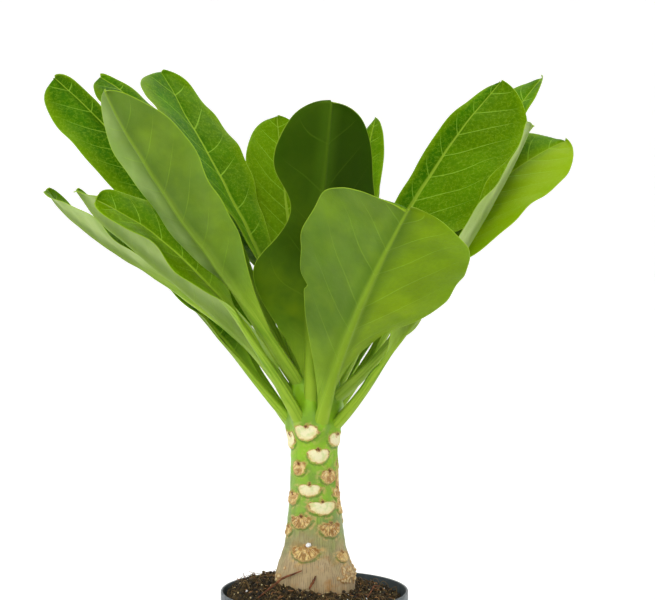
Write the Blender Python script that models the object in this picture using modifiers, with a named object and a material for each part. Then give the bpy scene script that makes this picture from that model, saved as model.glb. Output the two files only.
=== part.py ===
"""A potted palm-like succulent: a swollen trunk with leaf scars, a rosette of leaves, soil and a nursery pot.

Lengths are metres and angles are degrees. The origin is the centre of the pot's flat underside, with +Z up.
A turn is a direction round the trunk, counted anticlockwise from +X as seen from above.
"""

import math
from dataclasses import dataclass

import bmesh
import bpy
import numpy as np

GAP = 0.0003

POT_HEIGHT = 0.106
POT_RIM_RADIUS = 0.060
POT_BASE_RADIUS = 0.043
POT_WALL = 0.0014
POT_RIM_DEPTH = 0.011
POT_RIM_STEP = 0.0022
POT_SIDES = 48
DRAIN_HOLES = 6
DRAIN_RADIUS = 0.004
DRAIN_CIRCLE = 0.031
DRAIN_SIDES = 12

SOIL_LEVEL = 0.0985
SOIL_MOUND = 0.0120
SOIL_SPREAD = 0.0585
SOIL_LEAN = 0.65
SOIL_LUMP = 0.0014
SOIL_RINGS = 12
SOIL_SIDES = 40
HOLE_SIDES = 32
HOLE_ROOM = 0.0019
HOLE_TOP = 0.126

TRUNK_SIDES = 40
TRUNK_ROWS = 46
TRUNK_FOOT = 0.075
TRUNK_TOP = 0.257
TRUNK_SWAY = 0.0003
# Height and radius of the trunk, from the tip of the crown down to its foot in the soil.
TRUNK_PROFILE = (
    (0.257, 0.0),
    (0.255, 0.0045),
    (0.248, 0.0095),
    (0.238, 0.0130),
    (0.226, 0.0145),
    (0.211, 0.0146),
    (0.191, 0.0149),
    (0.1695, 0.0153),
    (0.1535, 0.0171),
    (0.144, 0.0183),
    (0.134, 0.0197),
    (0.1245, 0.0228),
    (0.118, 0.0248),
    (0.110, 0.0260),
    (0.098, 0.0262),
    (0.085, 0.0235),
    (0.077, 0.0150),
    (0.075, 0.0),
)

# Leaf scars on the side that faces the viewer: turn, height, width and height of the half-moon.
SCAR_RISE = 0.0011
FRONT_SCARS = (
    (252, 0.208, 0.0140, 0.0114),
    (196, 0.202, 0.0120, 0.0110),
    (326, 0.203, 0.0120, 0.0100),
    (280, 0.1935, 0.0146, 0.0108),
    (230, 0.185, 0.0110, 0.0095),
    (306, 0.180, 0.0118, 0.0096),
    (258, 0.172, 0.0158, 0.0096),
    (212, 0.166, 0.0110, 0.0090),
    (336, 0.169, 0.0105, 0.0085),
    (288, 0.161, 0.0190, 0.0108),
    (241, 0.152, 0.0145, 0.0092),
    (306, 0.147, 0.0150, 0.0104),
    (253, 0.133, 0.0180, 0.0102),
)
# The far side carries scars of one size on a rising spiral.
BACK_SCARS = 11
BACK_SCAR_START = (34, 0.137)
BACK_SCAR_STEP = (57, 0.0070)
BACK_SCAR_EDGE = 20
BACK_SCAR_SPAN = 140
BACK_SCAR_SIZE = (0.0145, 0.0100)

# Root nubs round the foot: turn, height, radius of the nub.
ROOT_NUBS = (
    (318, 0.1165, 0.0034),
    (331, 0.1195, 0.0030),
    (343, 0.1150, 0.0036),
    (356, 0.1185, 0.0028),
    (205, 0.1160, 0.0028),
    (120, 0.1170, 0.0034),
    (75, 0.1190, 0.0030),
)
NUB_RISE = 0.0016

LEAF_THICKNESS = 0.0009
RIB_THICKNESS = 0.0016
PETIOLE_THICKNESS = 0.0042
PETIOLE_WIDTH = 0.0034
PETIOLE_CLASP = 0.3
PETIOLE_CHANNEL = 28
ROOT_SINK = 0.013
LEAF_COLUMNS = 6
# How far along the leaf the lift at its root acts, as a share of its length.
LIFT_REACH = 0.36
# How blunt the tip is: 1 closes it to a point.
TIP_CLOSING = 0.88
TIP_SWEEP = 0.05
BAY_LENGTH = 0.13


@dataclass
class Leaf:
    """One leaf: where its petiole leaves the trunk, where its tip is, and how its blade is shaped.

    root is the turn and height of the petiole on the trunk. tip is the turn, reach and height of the blade's tip.
    lift and nod are the climb of the midrib at the root and at the tip, and tail is how far from the tip the nod
    acts, as a share of the leaf's length.
    left and right are the half widths of the blade, as seen from above with the tip pointing away.
    roll raises the right half. fold is each half's rise from the midrib, and curl is how much more it rises
    by its margin. wave is the height of the margin's waves, waves is how many there are, and phase starts them.
    stalk and widest are where along the leaf the blade starts and is widest. bay is a dent in the outline: its
    side, its place along the leaf and how deep it cuts into the half.
    """

    root: tuple
    tip: tuple
    lift: float
    nod: float
    left: float
    right: float
    roll: float = 0
    fold: tuple = (12, 12)
    curl: tuple = (0, 0)
    wave: float = 0.0025
    waves: float = 3.0
    phase: float = 0
    stalk: float = 0.20
    widest: float = 0.70
    bay: tuple = (0, 0, 0)
    tail: float = 0.36
    rows: int = 12


LEAVES = (
    # The left side, from the lowest leaf to the highest.
    Leaf((180, 0.215), (158, 0.146, 0.348), 46, 42, 0.009, 0.026, roll=14),
    Leaf(
        (208, 0.227), (190, 0.150, 0.360), 60, 60, 0.022, 0.018, roll=-8, fold=(36, 36), tail=0.20, stalk=0.08,
        widest=0.56,
    ),
    Leaf((172, 0.229), (176, 0.175, 0.363), 67, 58, 0.021, 0.020, fold=(30, 28), tail=0.26, stalk=0.42),
    Leaf((232, 0.216), (205, 0.143, 0.352), 53, 24, 0.018, 0.024, roll=45, stalk=0.42),
    Leaf((222, 0.239), (217, 0.150, 0.412), 52, 60, 0.030, 0.017, roll=-30),
    Leaf((186, 0.240), (166, 0.181, 0.441), 56, 40, 0.029, 0.010, roll=45, fold=(4, 75), widest=0.80),
    Leaf((150, 0.238), (148, 0.181, 0.451), 60, 30, 0.028, 0.010, roll=30),
    Leaf((140, 0.247), (142, 0.138, 0.452), 66, 52, 0.042, 0.026, roll=4, widest=0.74),
    # The middle, behind and in front of the growing tip.
    Leaf((104, 0.238), (106, 0.101, 0.422), 60, 70, 0.029, 0.026),
    Leaf((262, 0.229), (281, 0.056, 0.411), 78, 70, 0.041, 0.044, bay=(1, 0.66, 0.60), stalk=0.06, widest=0.55),
    Leaf((286, 0.2145), (291, 0.146, 0.341), 50, 35, 0.052, 0.052, roll=32, phase=180, fold=(24, 22), stalk=0.07),
    Leaf((66, 0.238), (66, 0.104, 0.420), 68, 60, 0.018, 0.019, widest=0.40),
    # The right side.
    Leaf((28, 0.239), (25, 0.140, 0.441), 68, 46, 0.012, 0.050, roll=-50, widest=0.67),
    Leaf((48, 0.227), (35, 0.200, 0.453), 54, 45, 0.024, 0.012, roll=-20),
    Leaf((342, 0.229), (358, 0.138, 0.404), 39, 66, 0.012, 0.020, fold=(25, 25)),
    Leaf((15, 0.223), (16, 0.176, 0.399), 50, 22, 0.036, 0.044, roll=-35),
    Leaf((332, 0.212), (334, 0.102, 0.314), 40, 40, 0.019, 0.017, stalk=0.42),
    # The far side of the rosette.
    Leaf((52, 0.215), (57, 0.146, 0.343), 44, 32, 0.034, 0.034),
    Leaf((98, 0.215), (92, 0.132, 0.358), 46, 34, 0.032, 0.034),
    Leaf((148, 0.209), (138, 0.150, 0.338), 42, 30, 0.022, 0.030, stalk=0.30),
    Leaf((86, 0.227), (81, 0.136, 0.401), 53, 44, 0.030, 0.032),
    Leaf((126, 0.225), (119, 0.134, 0.390), 66, 42, 0.028, 0.028, stalk=0.40),
    # The young leaves at the centre.
    Leaf((4, 0.248), (14, 0.028, 0.330), 74, 76, 0.012, 0.012, rows=8, wave=0.001),
    Leaf((250, 0.247), (255, 0.024, 0.318), 72, 78, 0.011, 0.011, rows=8, wave=0.001),
)


def rise_between(low, high, x):
    """0 below low, 1 above high, and a smooth S between them."""
    s = np.clip((x - low) / (high - low), 0, 1)
    return s * s * (3 - 2 * s)


def heading(turn, climb):
    """The unit vector at this turn that climbs at this angle."""
    turn, climb = math.radians(turn), math.radians(climb)
    return np.array(
        (math.cos(turn) * math.cos(climb), math.sin(turn) * math.cos(climb), math.sin(climb))
    )


def trunk_profile(z):
    """The trunk's plain radius at height z, straight between the profile's points."""
    heights, radii = zip(*TRUNK_PROFILE)
    return np.interp(z, heights[::-1], radii[::-1])


def midrib(leaf, s):
    """Points and unit tangents of the midrib at s, which runs from 0 at the root to 1 at the tip.

    The line is a cubic Bezier curve: the root and the lift set its start, the tip and the nod its end.
    """
    turn, height = leaf.root
    out = heading(turn, leaf.lift)
    start = heading(turn, 0) * trunk_profile(height) + (0, 0, height) - out * ROOT_SINK
    tip_turn, reach, top = leaf.tip
    end = heading(tip_turn, 0) * reach + (0, 0, top)
    chord = end - start
    length = np.linalg.norm(chord)
    bearing = math.degrees(math.atan2(chord[1], chord[0]))
    last = end - heading(bearing, leaf.nod) * leaf.tail * length
    points = (start, start + out * LIFT_REACH * length, last, end)
    s = s[:, None]
    line = (
        points[0] * (1 - s) ** 3
        + points[1] * 3 * s * (1 - s) ** 2
        + points[2] * 3 * s**2 * (1 - s)
        + points[3] * s**3
    )
    tangent = (
        (points[1] - points[0]) * (1 - s) ** 2
        + (points[2] - points[1]) * 2 * s * (1 - s)
        + (points[3] - points[2]) * s**2
    )
    return line, tangent / np.linalg.norm(tangent, axis=1, keepdims=True)


def half_width(leaf, s, side):
    """Half the width of the leaf at s: a petiole, a long widening, then a round end."""
    widest = np.where(side > 0, leaf.right, leaf.left)
    opening = rise_between(leaf.stalk, leaf.widest, s) ** 0.85
    past = np.clip((s - leaf.widest) / (1 - leaf.widest), 0, 1)
    closing = np.sqrt(1 - TIP_CLOSING * past**3)
    clasp = 1 + PETIOLE_CLASP * np.exp(-s / 0.06)
    bay_side, bay_place, bay_depth = leaf.bay
    dent = bay_depth * (side == bay_side) * np.exp(-(((s - bay_place) / BAY_LENGTH) ** 2))
    return PETIOLE_WIDTH * clasp * (1 - opening) + widest * opening * closing * (1 - dent)


def leaf_point(leaf, s, u):
    """The point of the upper face at s along the midrib and u across it, from -1 at the left margin to 1.

    Each half is an arc that starts at the fold's angle and turns through the curl, so its width is kept. The
    petiole is a channel, which opens into the blade. Near the tip the margins lag behind the midrib.
    Sine waves lift and lower the margin, more towards the edge and none on the petiole.
    """
    side = np.where(u < 0, -1.0, 1.0)
    out = np.abs(u)
    line, tangent = midrib(leaf, s * (1 - TIP_SWEEP * out**2 * rise_between(0.6, 1, s)))
    across = np.cross(tangent, (0, 0, 1))
    across /= np.linalg.norm(across, axis=1, keepdims=True)
    roll = np.radians(leaf.roll) * rise_between(0.05, 0.65, s)
    up = np.cross(across, tangent)
    right = across * np.cos(roll)[:, None] + up * np.sin(roll)[:, None]
    up = np.cross(right, tangent)
    width = half_width(leaf, s, side)
    fold = np.radians(np.where(side > 0, leaf.fold[1], leaf.fold[0]))
    curl = np.radians(np.where(side > 0, leaf.curl[1], leaf.curl[0])) * rise_between(0.2, 0.7, s)
    channel = np.radians(PETIOLE_CHANNEL) * (1 - rise_between(0.1, leaf.widest, s))
    angle = fold + channel + 1e-4
    bend = curl + 1e-3
    reach = width * (np.sin(angle + bend * out) - np.sin(angle)) / bend
    height = width * (np.cos(angle) - np.cos(angle + bend * out)) / bend
    ripple = np.sin(2 * math.pi * leaf.waves * s + np.radians(leaf.phase) + 1.3 * side)
    height = height + leaf.wave * ripple * out**2 * rise_between(0.25, 0.6, s)
    return line + right * (side * reach)[:, None] + up * height[:, None]


def leaf_depth(leaf, s, u):
    """The thickness of the leaf: a round petiole and midrib that thin towards the tip and the margins."""
    stem = 1 - rise_between(0.05, 0.75, s)
    rib = RIB_THICKNESS + (PETIOLE_THICKNESS - RIB_THICKNESS) * stem - LEAF_THICKNESS
    spread = 0.85 * stem + 0.12
    return LEAF_THICKNESS + rib * np.clip(1 - (np.abs(u) / spread) ** 2, 0, 1)


def material(name, colour, roughness, metallic=0.0):
    made = bpy.data.materials.new(name)
    made.use_nodes = True
    shader = made.node_tree.nodes["Principled BSDF"]
    shader.inputs["Base Color"].default_value = (*colour, 1)
    shader.inputs["Roughness"].default_value = roughness
    shader.inputs["Metallic"].default_value = metallic
    return made


def add_object(name, mesh, finish, collection):
    made = bpy.data.objects.new(name, mesh)
    if finish:
        mesh.materials.append(finish)
    collection.objects.link(made)
    return made


def turned(name, profile, sides):
    """A mesh turned round the Z axis from a profile of radius and height, listed down its outer side."""
    outline = bpy.data.meshes.new(name + "_outline")
    points = [(radius, 0, height) for radius, height in profile]
    outline.from_pydata(points, [(i, i + 1) for i in range(len(points) - 1)], [])
    guide = bpy.data.objects.new(name + "_outline", outline)
    bpy.context.scene.collection.objects.link(guide)
    screw = guide.modifiers.new("Turn", "SCREW")
    screw.steps = sides
    screw.render_steps = sides
    screw.use_merge_vertices = True
    screw.merge_threshold = 0.0001
    bpy.context.view_layer.update()
    evaluated = guide.evaluated_get(bpy.context.evaluated_depsgraph_get())
    mesh = bpy.data.meshes.new_from_object(evaluated)
    mesh.name = name
    bpy.data.objects.remove(guide)
    bpy.data.meshes.remove(outline)
    return mesh


def points_of(mesh):
    points = np.empty(len(mesh.vertices) * 3, np.float32)
    mesh.vertices.foreach_get("co", points)
    return points.reshape(-1, 3).astype(float)


def move_points(mesh, points):
    mesh.vertices.foreach_set("co", points.astype(np.float32).ravel())
    mesh.update()


def turned_away(a, b):
    """The turn from b to a, between -180 and 180."""
    return (a - b + 180) % 360 - 180


def back_scars():
    """The far side's scars climb in a spiral that stays on the far side."""
    turn, height = BACK_SCAR_START
    step_turn, step_height = BACK_SCAR_STEP
    wide, tall = BACK_SCAR_SIZE
    for i in range(BACK_SCARS):
        yield (BACK_SCAR_EDGE + (turn + i * step_turn) % BACK_SCAR_SPAN, height + i * step_height, wide, tall)


def trunk_relief(turn, z, radius):
    """How far the scars and the root nubs stand out of the trunk at each turn and height.

    A scar is a raised half-moon: half an ellipse below its middle, and a flatter cap above it.
    """
    relief = np.zeros_like(z)
    for scar_turn, height, wide, tall in (*FRONT_SCARS, *back_scars()):
        across = np.radians(turned_away(turn, scar_turn)) * radius / (wide / 2)
        along = (z - height) / (tall / 2)
        along = np.where(along > 0, along * 1.25, along * 0.95)
        edge = np.sqrt(across**2 + along**2)
        relief = np.maximum(relief, SCAR_RISE * (1 - rise_between(0.75, 1.2, edge)))
    for nub_turn, height, size in ROOT_NUBS:
        across = np.radians(turned_away(turn, nub_turn)) * radius
        away = (across**2 + (z - height) ** 2) / size**2
        relief = relief + NUB_RISE * np.exp(-away)
    return relief


def trunk_mesh(name, grown):
    """The trunk, swollen at its foot, grown outwards by this much all over."""
    heights = np.linspace(TRUNK_TOP, TRUNK_FOOT, TRUNK_ROWS)
    profile = [(trunk_profile(z), z) for z in heights]
    mesh = turned(name, profile, TRUNK_SIDES)
    points = points_of(mesh)
    radius = np.hypot(points[:, 0], points[:, 1])
    turn = np.degrees(np.arctan2(points[:, 1], points[:, 0]))
    ends = rise_between(0.003, 0.010, radius)
    sway = TRUNK_SWAY * np.sin(3 * np.radians(turn) + points[:, 2] * 60)
    wider = radius + ends * (trunk_relief(turn, points[:, 2], radius) + sway)
    scale = wider / np.maximum(radius, 1e-9)
    points[:, 0] *= scale
    points[:, 1] *= scale
    move_points(mesh, points)
    if grown:
        normals = np.empty(len(mesh.vertices) * 3, np.float32)
        mesh.vertices.foreach_get("normal", normals)
        move_points(mesh, points + normals.reshape(-1, 3) * grown)
    mesh.shade_smooth()
    return mesh


def make_trunk(collection):
    bark = material("trunk_green", (0.19, 0.40, 0.03), 0.55)
    return add_object("trunk", trunk_mesh("trunk", 0), bark, collection)


def make_leaf(number, leaf, cutter, finish, collection):
    """A leaf: a grid bent into the blade's upper face, thickened underneath and trimmed where it meets the trunk."""
    name = f"leaf_{number:02d}"
    shape = bmesh.new()
    bmesh.ops.create_grid(shape, x_segments=leaf.rows, y_segments=LEAF_COLUMNS, size=1)
    bmesh.ops.triangulate(shape, faces=shape.faces)
    mesh = bpy.data.meshes.new(name)
    shape.to_mesh(mesh)
    shape.free()
    grid = points_of(mesh)
    s = 1 - (1 - (grid[:, 0] + 1) / 2) ** 1.5
    u = grid[:, 1]
    move_points(mesh, leaf_point(leaf, s, -u))
    made = add_object(name, mesh, finish, collection)
    group = made.vertex_groups.new(name="thickness")
    for index, depth in enumerate(leaf_depth(leaf, s, u)):
        group.add([index], float(depth) / PETIOLE_THICKNESS, "REPLACE")
    shell = made.modifiers.new("Thickness", "SOLIDIFY")
    shell.thickness = PETIOLE_THICKNESS
    shell.offset = -1
    shell.vertex_group = group.name
    trim = made.modifiers.new("Root", "BOOLEAN")
    trim.operation = "DIFFERENCE"
    trim.object = cutter
    mesh.shade_smooth()
    return made


def pot_profile():
    """The pot's outline: up the inside from the centre of the floor, over the rim and down the outside."""
    rim = POT_RIM_RADIUS
    inner_rim = rim - POT_RIM_STEP - POT_WALL
    shoulder = POT_HEIGHT - POT_RIM_DEPTH
    base_inner = POT_BASE_RADIUS - POT_WALL
    inside = [(0, POT_WALL), (base_inner, POT_WALL), (inner_rim, shoulder), (rim - POT_WALL, POT_HEIGHT - 0.002)]
    lip = [(rim - POT_WALL / 2, POT_HEIGHT), (rim, POT_HEIGHT - 0.001)]
    outside = [
        (rim, shoulder),
        (rim - POT_RIM_STEP, shoulder),
        (POT_BASE_RADIUS, 0.002),
        (POT_BASE_RADIUS - 0.001, 0),
        (0, 0),
    ]
    return inside + lip + outside


def make_pot(collection, cutters):
    plastic = material("pot_plastic", (0.07, 0.09, 0.105), 0.45)
    pot = add_object("pot", turned("pot", pot_profile(), POT_SIDES), plastic, collection)
    for i in range(DRAIN_HOLES):
        turn = 2 * math.pi * i / DRAIN_HOLES
        bpy.ops.mesh.primitive_cylinder_add(
            vertices=DRAIN_SIDES,
            radius=DRAIN_RADIUS,
            depth=0.02,
            location=(DRAIN_CIRCLE * math.cos(turn), DRAIN_CIRCLE * math.sin(turn), 0),
        )
        hole = bpy.context.object
        hole.name = f"drain_cutter_{i + 1}"
        hide(hole, cutters)
        cut = pot.modifiers.new(f"Drain {i + 1}", "BOOLEAN")
        cut.operation = "DIFFERENCE"
        cut.object = hole
    pot.data.shade_smooth()
    pot.data.set_sharp_from_angle(angle=math.radians(35))
    return pot


def hide(guide, cutters):
    """Keeps a cutter out of the model: it is linked to the cutters alone, and isn't rendered."""
    for collection in guide.users_collection:
        collection.objects.unlink(guide)
    cutters.objects.link(guide)
    guide.hide_render = True
    guide.display_type = "WIRE"


def soil_height(x, y):
    """The soil's surface: a dome round the trunk, far higher on the left, and lumpy all over."""
    radius = np.hypot(x, y)
    dome = np.sqrt(np.clip(1 - (radius / SOIL_SPREAD) ** 2, 0, 1))
    heap = SOIL_MOUND * (1 - SOIL_LEAN * x / POT_RIM_RADIUS)
    lumps = np.sin(x * 410 + 1.7 * np.sin(y * 250)) * np.cos(y * 370 + 1.3 * np.sin(x * 290))
    return SOIL_LEVEL + heap * dome + SOIL_LUMP * lumps


def hole_profile():
    """The plain hole in the soil: the trunk's own outline, with room for its root nubs."""
    foot = [(radius + HOLE_ROOM, z) for z, radius in TRUNK_PROFILE if TRUNK_FOOT < z <= HOLE_TOP]
    return [(0, foot[0][1]), *foot, (foot[-1][0], TRUNK_FOOT - GAP), (0, TRUNK_FOOT - GAP)]


def make_soil(collection, cutters):
    """The soil: it fills the pot inside its wall, and has a plain hole for the trunk."""
    floor = POT_WALL + GAP
    base = POT_BASE_RADIUS - POT_WALL - GAP * 2
    shoulder = POT_HEIGHT - POT_RIM_DEPTH
    top = POT_RIM_RADIUS - POT_RIM_STEP - POT_WALL - GAP * 2
    rings = np.linspace(0, top, SOIL_RINGS)
    profile = [(radius, POT_HEIGHT) for radius in rings]
    profile += [(top, shoulder - 0.001), (base, floor), (0, floor)]
    mesh = turned("soil", profile, SOIL_SIDES)
    points = points_of(mesh)
    surface = points[:, 2] > shoulder
    points[surface, 2] = soil_height(points[surface, 0], points[surface, 1])
    move_points(mesh, points)
    earth = material("soil_dark", (0.035, 0.022, 0.012), 0.95)
    soil = add_object("soil", mesh, earth, collection)
    cutter = add_object("soil_cutter", turned("soil_cutter", hole_profile(), HOLE_SIDES), None, cutters)
    hide(cutter, cutters)
    hole = soil.modifiers.new("Trunk hole", "BOOLEAN")
    hole.operation = "DIFFERENCE"
    hole.object = cutter
    return soil


def main():
    for old in list(bpy.data.objects):
        bpy.data.objects.remove(old)
    palm = bpy.data.collections.new("potted_palm")
    cutters = bpy.data.collections.new("cutters")
    bpy.context.scene.collection.children.link(palm)
    bpy.context.scene.collection.children.link(cutters)
    make_pot(palm, cutters)
    make_soil(palm, cutters)
    make_trunk(palm)
    cutter = add_object("trunk_cutter", trunk_mesh("trunk_cutter", GAP), None, cutters)
    hide(cutter, cutters)
    green = material("leaf_green", (0.10, 0.30, 0.008), 0.38)
    for number, leaf in enumerate(LEAVES, start=1):
        make_leaf(number, leaf, cutter, green, palm)


main()
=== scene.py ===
"""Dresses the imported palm: waved and veined leaves, a scarred stem, potting mix and a moulded pot, in a pale studio.

Lengths are metres and angles are degrees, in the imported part's frame: the origin is the centre of the pot's
underside and +Z is up. A turn is a direction round the stem, anticlockwise from +X as seen from above.
"""

import math
from dataclasses import dataclass

import bmesh
import bpy
import numpy as np
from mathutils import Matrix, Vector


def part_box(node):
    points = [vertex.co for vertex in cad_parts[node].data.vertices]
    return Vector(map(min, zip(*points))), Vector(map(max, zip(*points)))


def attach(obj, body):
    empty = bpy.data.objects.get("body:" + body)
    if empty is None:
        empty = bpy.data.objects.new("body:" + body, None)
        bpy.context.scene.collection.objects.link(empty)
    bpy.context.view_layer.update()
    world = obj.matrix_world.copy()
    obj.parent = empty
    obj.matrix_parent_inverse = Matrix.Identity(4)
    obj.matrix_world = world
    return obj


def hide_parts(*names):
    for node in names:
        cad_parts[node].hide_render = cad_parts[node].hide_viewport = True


bl_info = {
    "name": "Potted hawaiian palm",
    "version": (1, 0, 0),
    "blender": (4, 5, 0),
    "location": "View3D > Sidebar > Palm",
    "description": "Leaves, stem, potting mix and pot for the potted hawaiian palm",
    "category": "Object",
}

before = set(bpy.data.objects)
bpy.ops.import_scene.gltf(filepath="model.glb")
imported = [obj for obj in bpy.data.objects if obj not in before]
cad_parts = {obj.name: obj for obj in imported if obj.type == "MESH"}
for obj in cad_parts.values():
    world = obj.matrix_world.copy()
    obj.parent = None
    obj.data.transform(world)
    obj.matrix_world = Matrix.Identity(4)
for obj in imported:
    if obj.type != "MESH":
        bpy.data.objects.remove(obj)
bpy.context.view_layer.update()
POT_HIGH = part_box("pot")[1]
TRUNK_LOW, TRUNK_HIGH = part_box("trunk")
BODY = "root"

POT_HEIGHT = POT_HIGH.z
POT_RIM_RADIUS = POT_HIGH.x
POT_BASE_RADIUS = 0.043
POT_WALL = 0.0014
POT_RIM_DEPTH = 0.011
POT_RIM_STEP = 0.0022
DRAIN_HOLES = 6
DRAIN_RADIUS = 0.004
DRAIN_CIRCLE = 0.031
# Radii of the pot's corners, at its base and on its rim, and the small slope under the rim.
POT_CORNER = 0.001
RIM_CORNER = 0.0006
RIM_SLOPE = 0.0004
# The rim is upright from this far below its top.
LIP_DEPTH = 0.003
# The straight wall starts this far outside the base and this high.
WALL_FOOT = (0.0003, 0.004)
POT_SHOULDER = POT_HEIGHT - POT_RIM_DEPTH
POT_INSIDE = POT_RIM_RADIUS - POT_RIM_STEP - POT_WALL

SOIL_LEVEL = 0.0985
SOIL_MOUND = 0.0120
SOIL_SPREAD = 0.0585
SOIL_LEAN = 0.65
SOIL_LUMP = 0.0014
# The soil's rings lie wide apart inside this radius, where the stem stands on it.
SOIL_CORE = 0.018
# How far the soil keeps from the pot's wall and floor, and how far its edge drops below the shoulder.
SOIL_GAP = 0.0002
SOIL_DROP = 0.001
# Size, seed and octaves of the two sizes of crumbs.
CRUMB_NOISE = ((0.0046, 51, 3), (0.0017, 61, 2))
# Smallest and largest widths of the loose bits, and the radii that they lie between.
CRUMB_SIZES = (0.0007, 0.0036)
GRAIN_SIZES = (0.0006, 0.0017)
PERLITE_SIZES = (0.0010, 0.0021)
GRAINS_FROM = 0.0245
CHIPS_BETWEEN = (0.027, 0.051)
FIBRES_BETWEEN = (0.028, 0.052)
# No rootlet reaches further out than this.
FIBRES_WITHIN = 0.054
# A bark chip's length and half its width and thickness, and how high it lies.
CHIP_LENGTHS = (0.0025, 0.0065)
CHIP_HALF_WIDTHS = (0.0004, 0.0010)
CHIP_HALF_DEPTHS = (0.0002, 0.0005)
CHIP_LIFT = 0.0007
# A rootlet's length, the height of its arch, its radius, how far it turns in radians, and how high its ends lie.
FIBRE_LENGTHS = (0.004, 0.011)
FIBRE_ARCHES = (0.0010, 0.0040)
FIBRE_RADII = (0.00010, 0.00020)
FIBRE_BEND = 0.5
FIBRE_LIFT = 0.0004

TRUNK_FOOT = TRUNK_LOW.z
TRUNK_TOP = TRUNK_HIGH.z
# Height and radius of the stem, from the tip of the crown down to its foot in the soil.
TRUNK_PROFILE = (
    (0.257, 0.0),
    (0.255, 0.0045),
    (0.248, 0.0095),
    (0.238, 0.0130),
    (0.226, 0.0145),
    (0.211, 0.0146),
    (0.191, 0.0149),
    (0.1695, 0.0153),
    (0.1535, 0.0171),
    (0.144, 0.0183),
    (0.134, 0.0197),
    (0.1245, 0.0228),
    (0.118, 0.0248),
    (0.110, 0.0260),
    (0.098, 0.0262),
    (0.085, 0.0235),
    (0.077, 0.0150),
    (0.075, 0.0),
)

SCAR_RISE = 0.0011
SCAR_WOBBLE = 0.11
SCAR_WOBBLE_SIZE = 0.0021
SCAR_GRIT = 0.00012
SCAR_GRIT_SIZE = 0.0009
# Edge values between which a scar's face rises to its rim, and its rim falls to the skin.
SCAR_FACE = (0.62, 0.86)
SCAR_EDGE = (0.84, 1.16)
# The notch in the cap of a half-moon: how much it presses the cap down, and its width as a share of the half width.
NOTCH = (0.9, 0.22)
FIBRES = 24
FIBRE_DEPTH = 0.00020
BUD_RADIUS = 0.0012
BUD_RISE = 0.0006
# Leaf scars on the side that faces the viewer: turn, height, width and height of the half-moon, how fresh the cut
# is, and how far its fibres show.
FRONT_SCARS = (
    (252, 0.208, 0.0140, 0.0114, 1.00, 0.0),
    (196, 0.202, 0.0120, 0.0110, 0.90, 0.0),
    (326, 0.203, 0.0120, 0.0100, 0.85, 0.1),
    (280, 0.1935, 0.0146, 0.0108, 0.85, 0.0),
    (230, 0.185, 0.0110, 0.0095, 0.20, 0.5),
    (306, 0.180, 0.0118, 0.0096, 0.35, 0.5),
    (258, 0.172, 0.0158, 0.0096, 0.75, 0.1),
    (212, 0.166, 0.0110, 0.0090, 0.15, 0.4),
    (336, 0.169, 0.0105, 0.0085, 0.20, 0.4),
    (288, 0.161, 0.0190, 0.0108, 0.95, 0.0),
    (241, 0.152, 0.0145, 0.0092, 0.30, 1.0),
    (306, 0.147, 0.0150, 0.0104, 0.35, 1.0),
    (253, 0.133, 0.0180, 0.0102, 0.30, 1.0),
    (208, 0.1455, 0.0080, 0.0070, 0.20, 0.6),
    (341, 0.1590, 0.0070, 0.0080, 0.30, 0.3),
    (328, 0.1295, 0.0120, 0.0074, 0.05, 0.5),
)
# The far side carries scars of one size on a rising spiral.
BACK_SCARS = 11
BACK_SCAR_START = (34, 0.137)
BACK_SCAR_STEP = (57, 0.0070)
BACK_SCAR_EDGE = 20
BACK_SCAR_SPAN = 140
BACK_SCAR_SIZE = (0.0145, 0.0100)

# Root nubs round the foot: turn, height, radius of the nub.
ROOT_NUBS = (
    (318, 0.1165, 0.0034),
    (331, 0.1195, 0.0030),
    (343, 0.1150, 0.0036),
    (356, 0.1185, 0.0028),
    (205, 0.1160, 0.0028),
    (120, 0.1170, 0.0034),
    (75, 0.1190, 0.0030),
)
NUB_RISE = 0.0016
NUB_KNOBS = 13
KNOB_RADII = (0.0006, 0.0012)
# The bark gives way to green skin between these heights.
BARK_TOP = (0.126, 0.156)
SWELLING = 0.0003
# The swelling below a leaf's foot: half its width, and how far it reaches above and below the foot.
FOOT_WIDTH = 0.0052
FOOT_REACH = (0.006, 0.010)

# The twig, the splinter and three small twigs: the points that each passes through, and its radius.
TWIGS = (
    (((-0.0345, -0.0360, 0.1085), (-0.0205, -0.0200, 0.1165), (-0.0076, -0.0258, 0.1230)), 0.0007),
    (((-0.0032, -0.0288, 0.1120), (-0.0008, -0.0272, 0.1158), (0.0008, -0.0262, 0.1195)), 0.0008),
    (((0.0330, -0.0300, 0.1065), (0.0375, -0.0200, 0.1120), (0.0420, -0.0140, 0.1105)), 0.0004),
    (((-0.0440, -0.0020, 0.1090), (-0.0450, 0.0010, 0.1135), (-0.0462, 0.0020, 0.1160)), 0.00025),
    (((-0.0380, 0.0010, 0.1110), (-0.0392, 0.0040, 0.1150), (-0.0425, 0.0060, 0.1162)), 0.0002),
)
# How far a twig strays from its points, and the size of the mottling of its bark.
TWIG_WANDER = 0.0003
TWIG_GRAIN = 0.0015
# The crumb of perlite that lies on the lowest scar: its place and half its sizes.
CRUMB = (-0.0038, -0.0193, 0.1376)
CRUMB_HALF = (0.0021, 0.0013, 0.0016)

ROOT_SINK = 0.013
LIFT_REACH = 0.36
PETIOLE_WIDTH = 0.0034
PETIOLE_CHANNEL = 28
BAY_LENGTH = 0.13
NICK_LENGTH = 0.014
TIP_FULLNESS = 2.7
TIP_BLUNTNESS = 0.0004
TIP_FLATTENING = 0.6
CLASP_LENGTH = 0.06
OUTLINE_WANDER = 0.03
# How much more each half turns up by its margin, in radians.
MARGIN_LIFT = 0.0005
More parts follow.
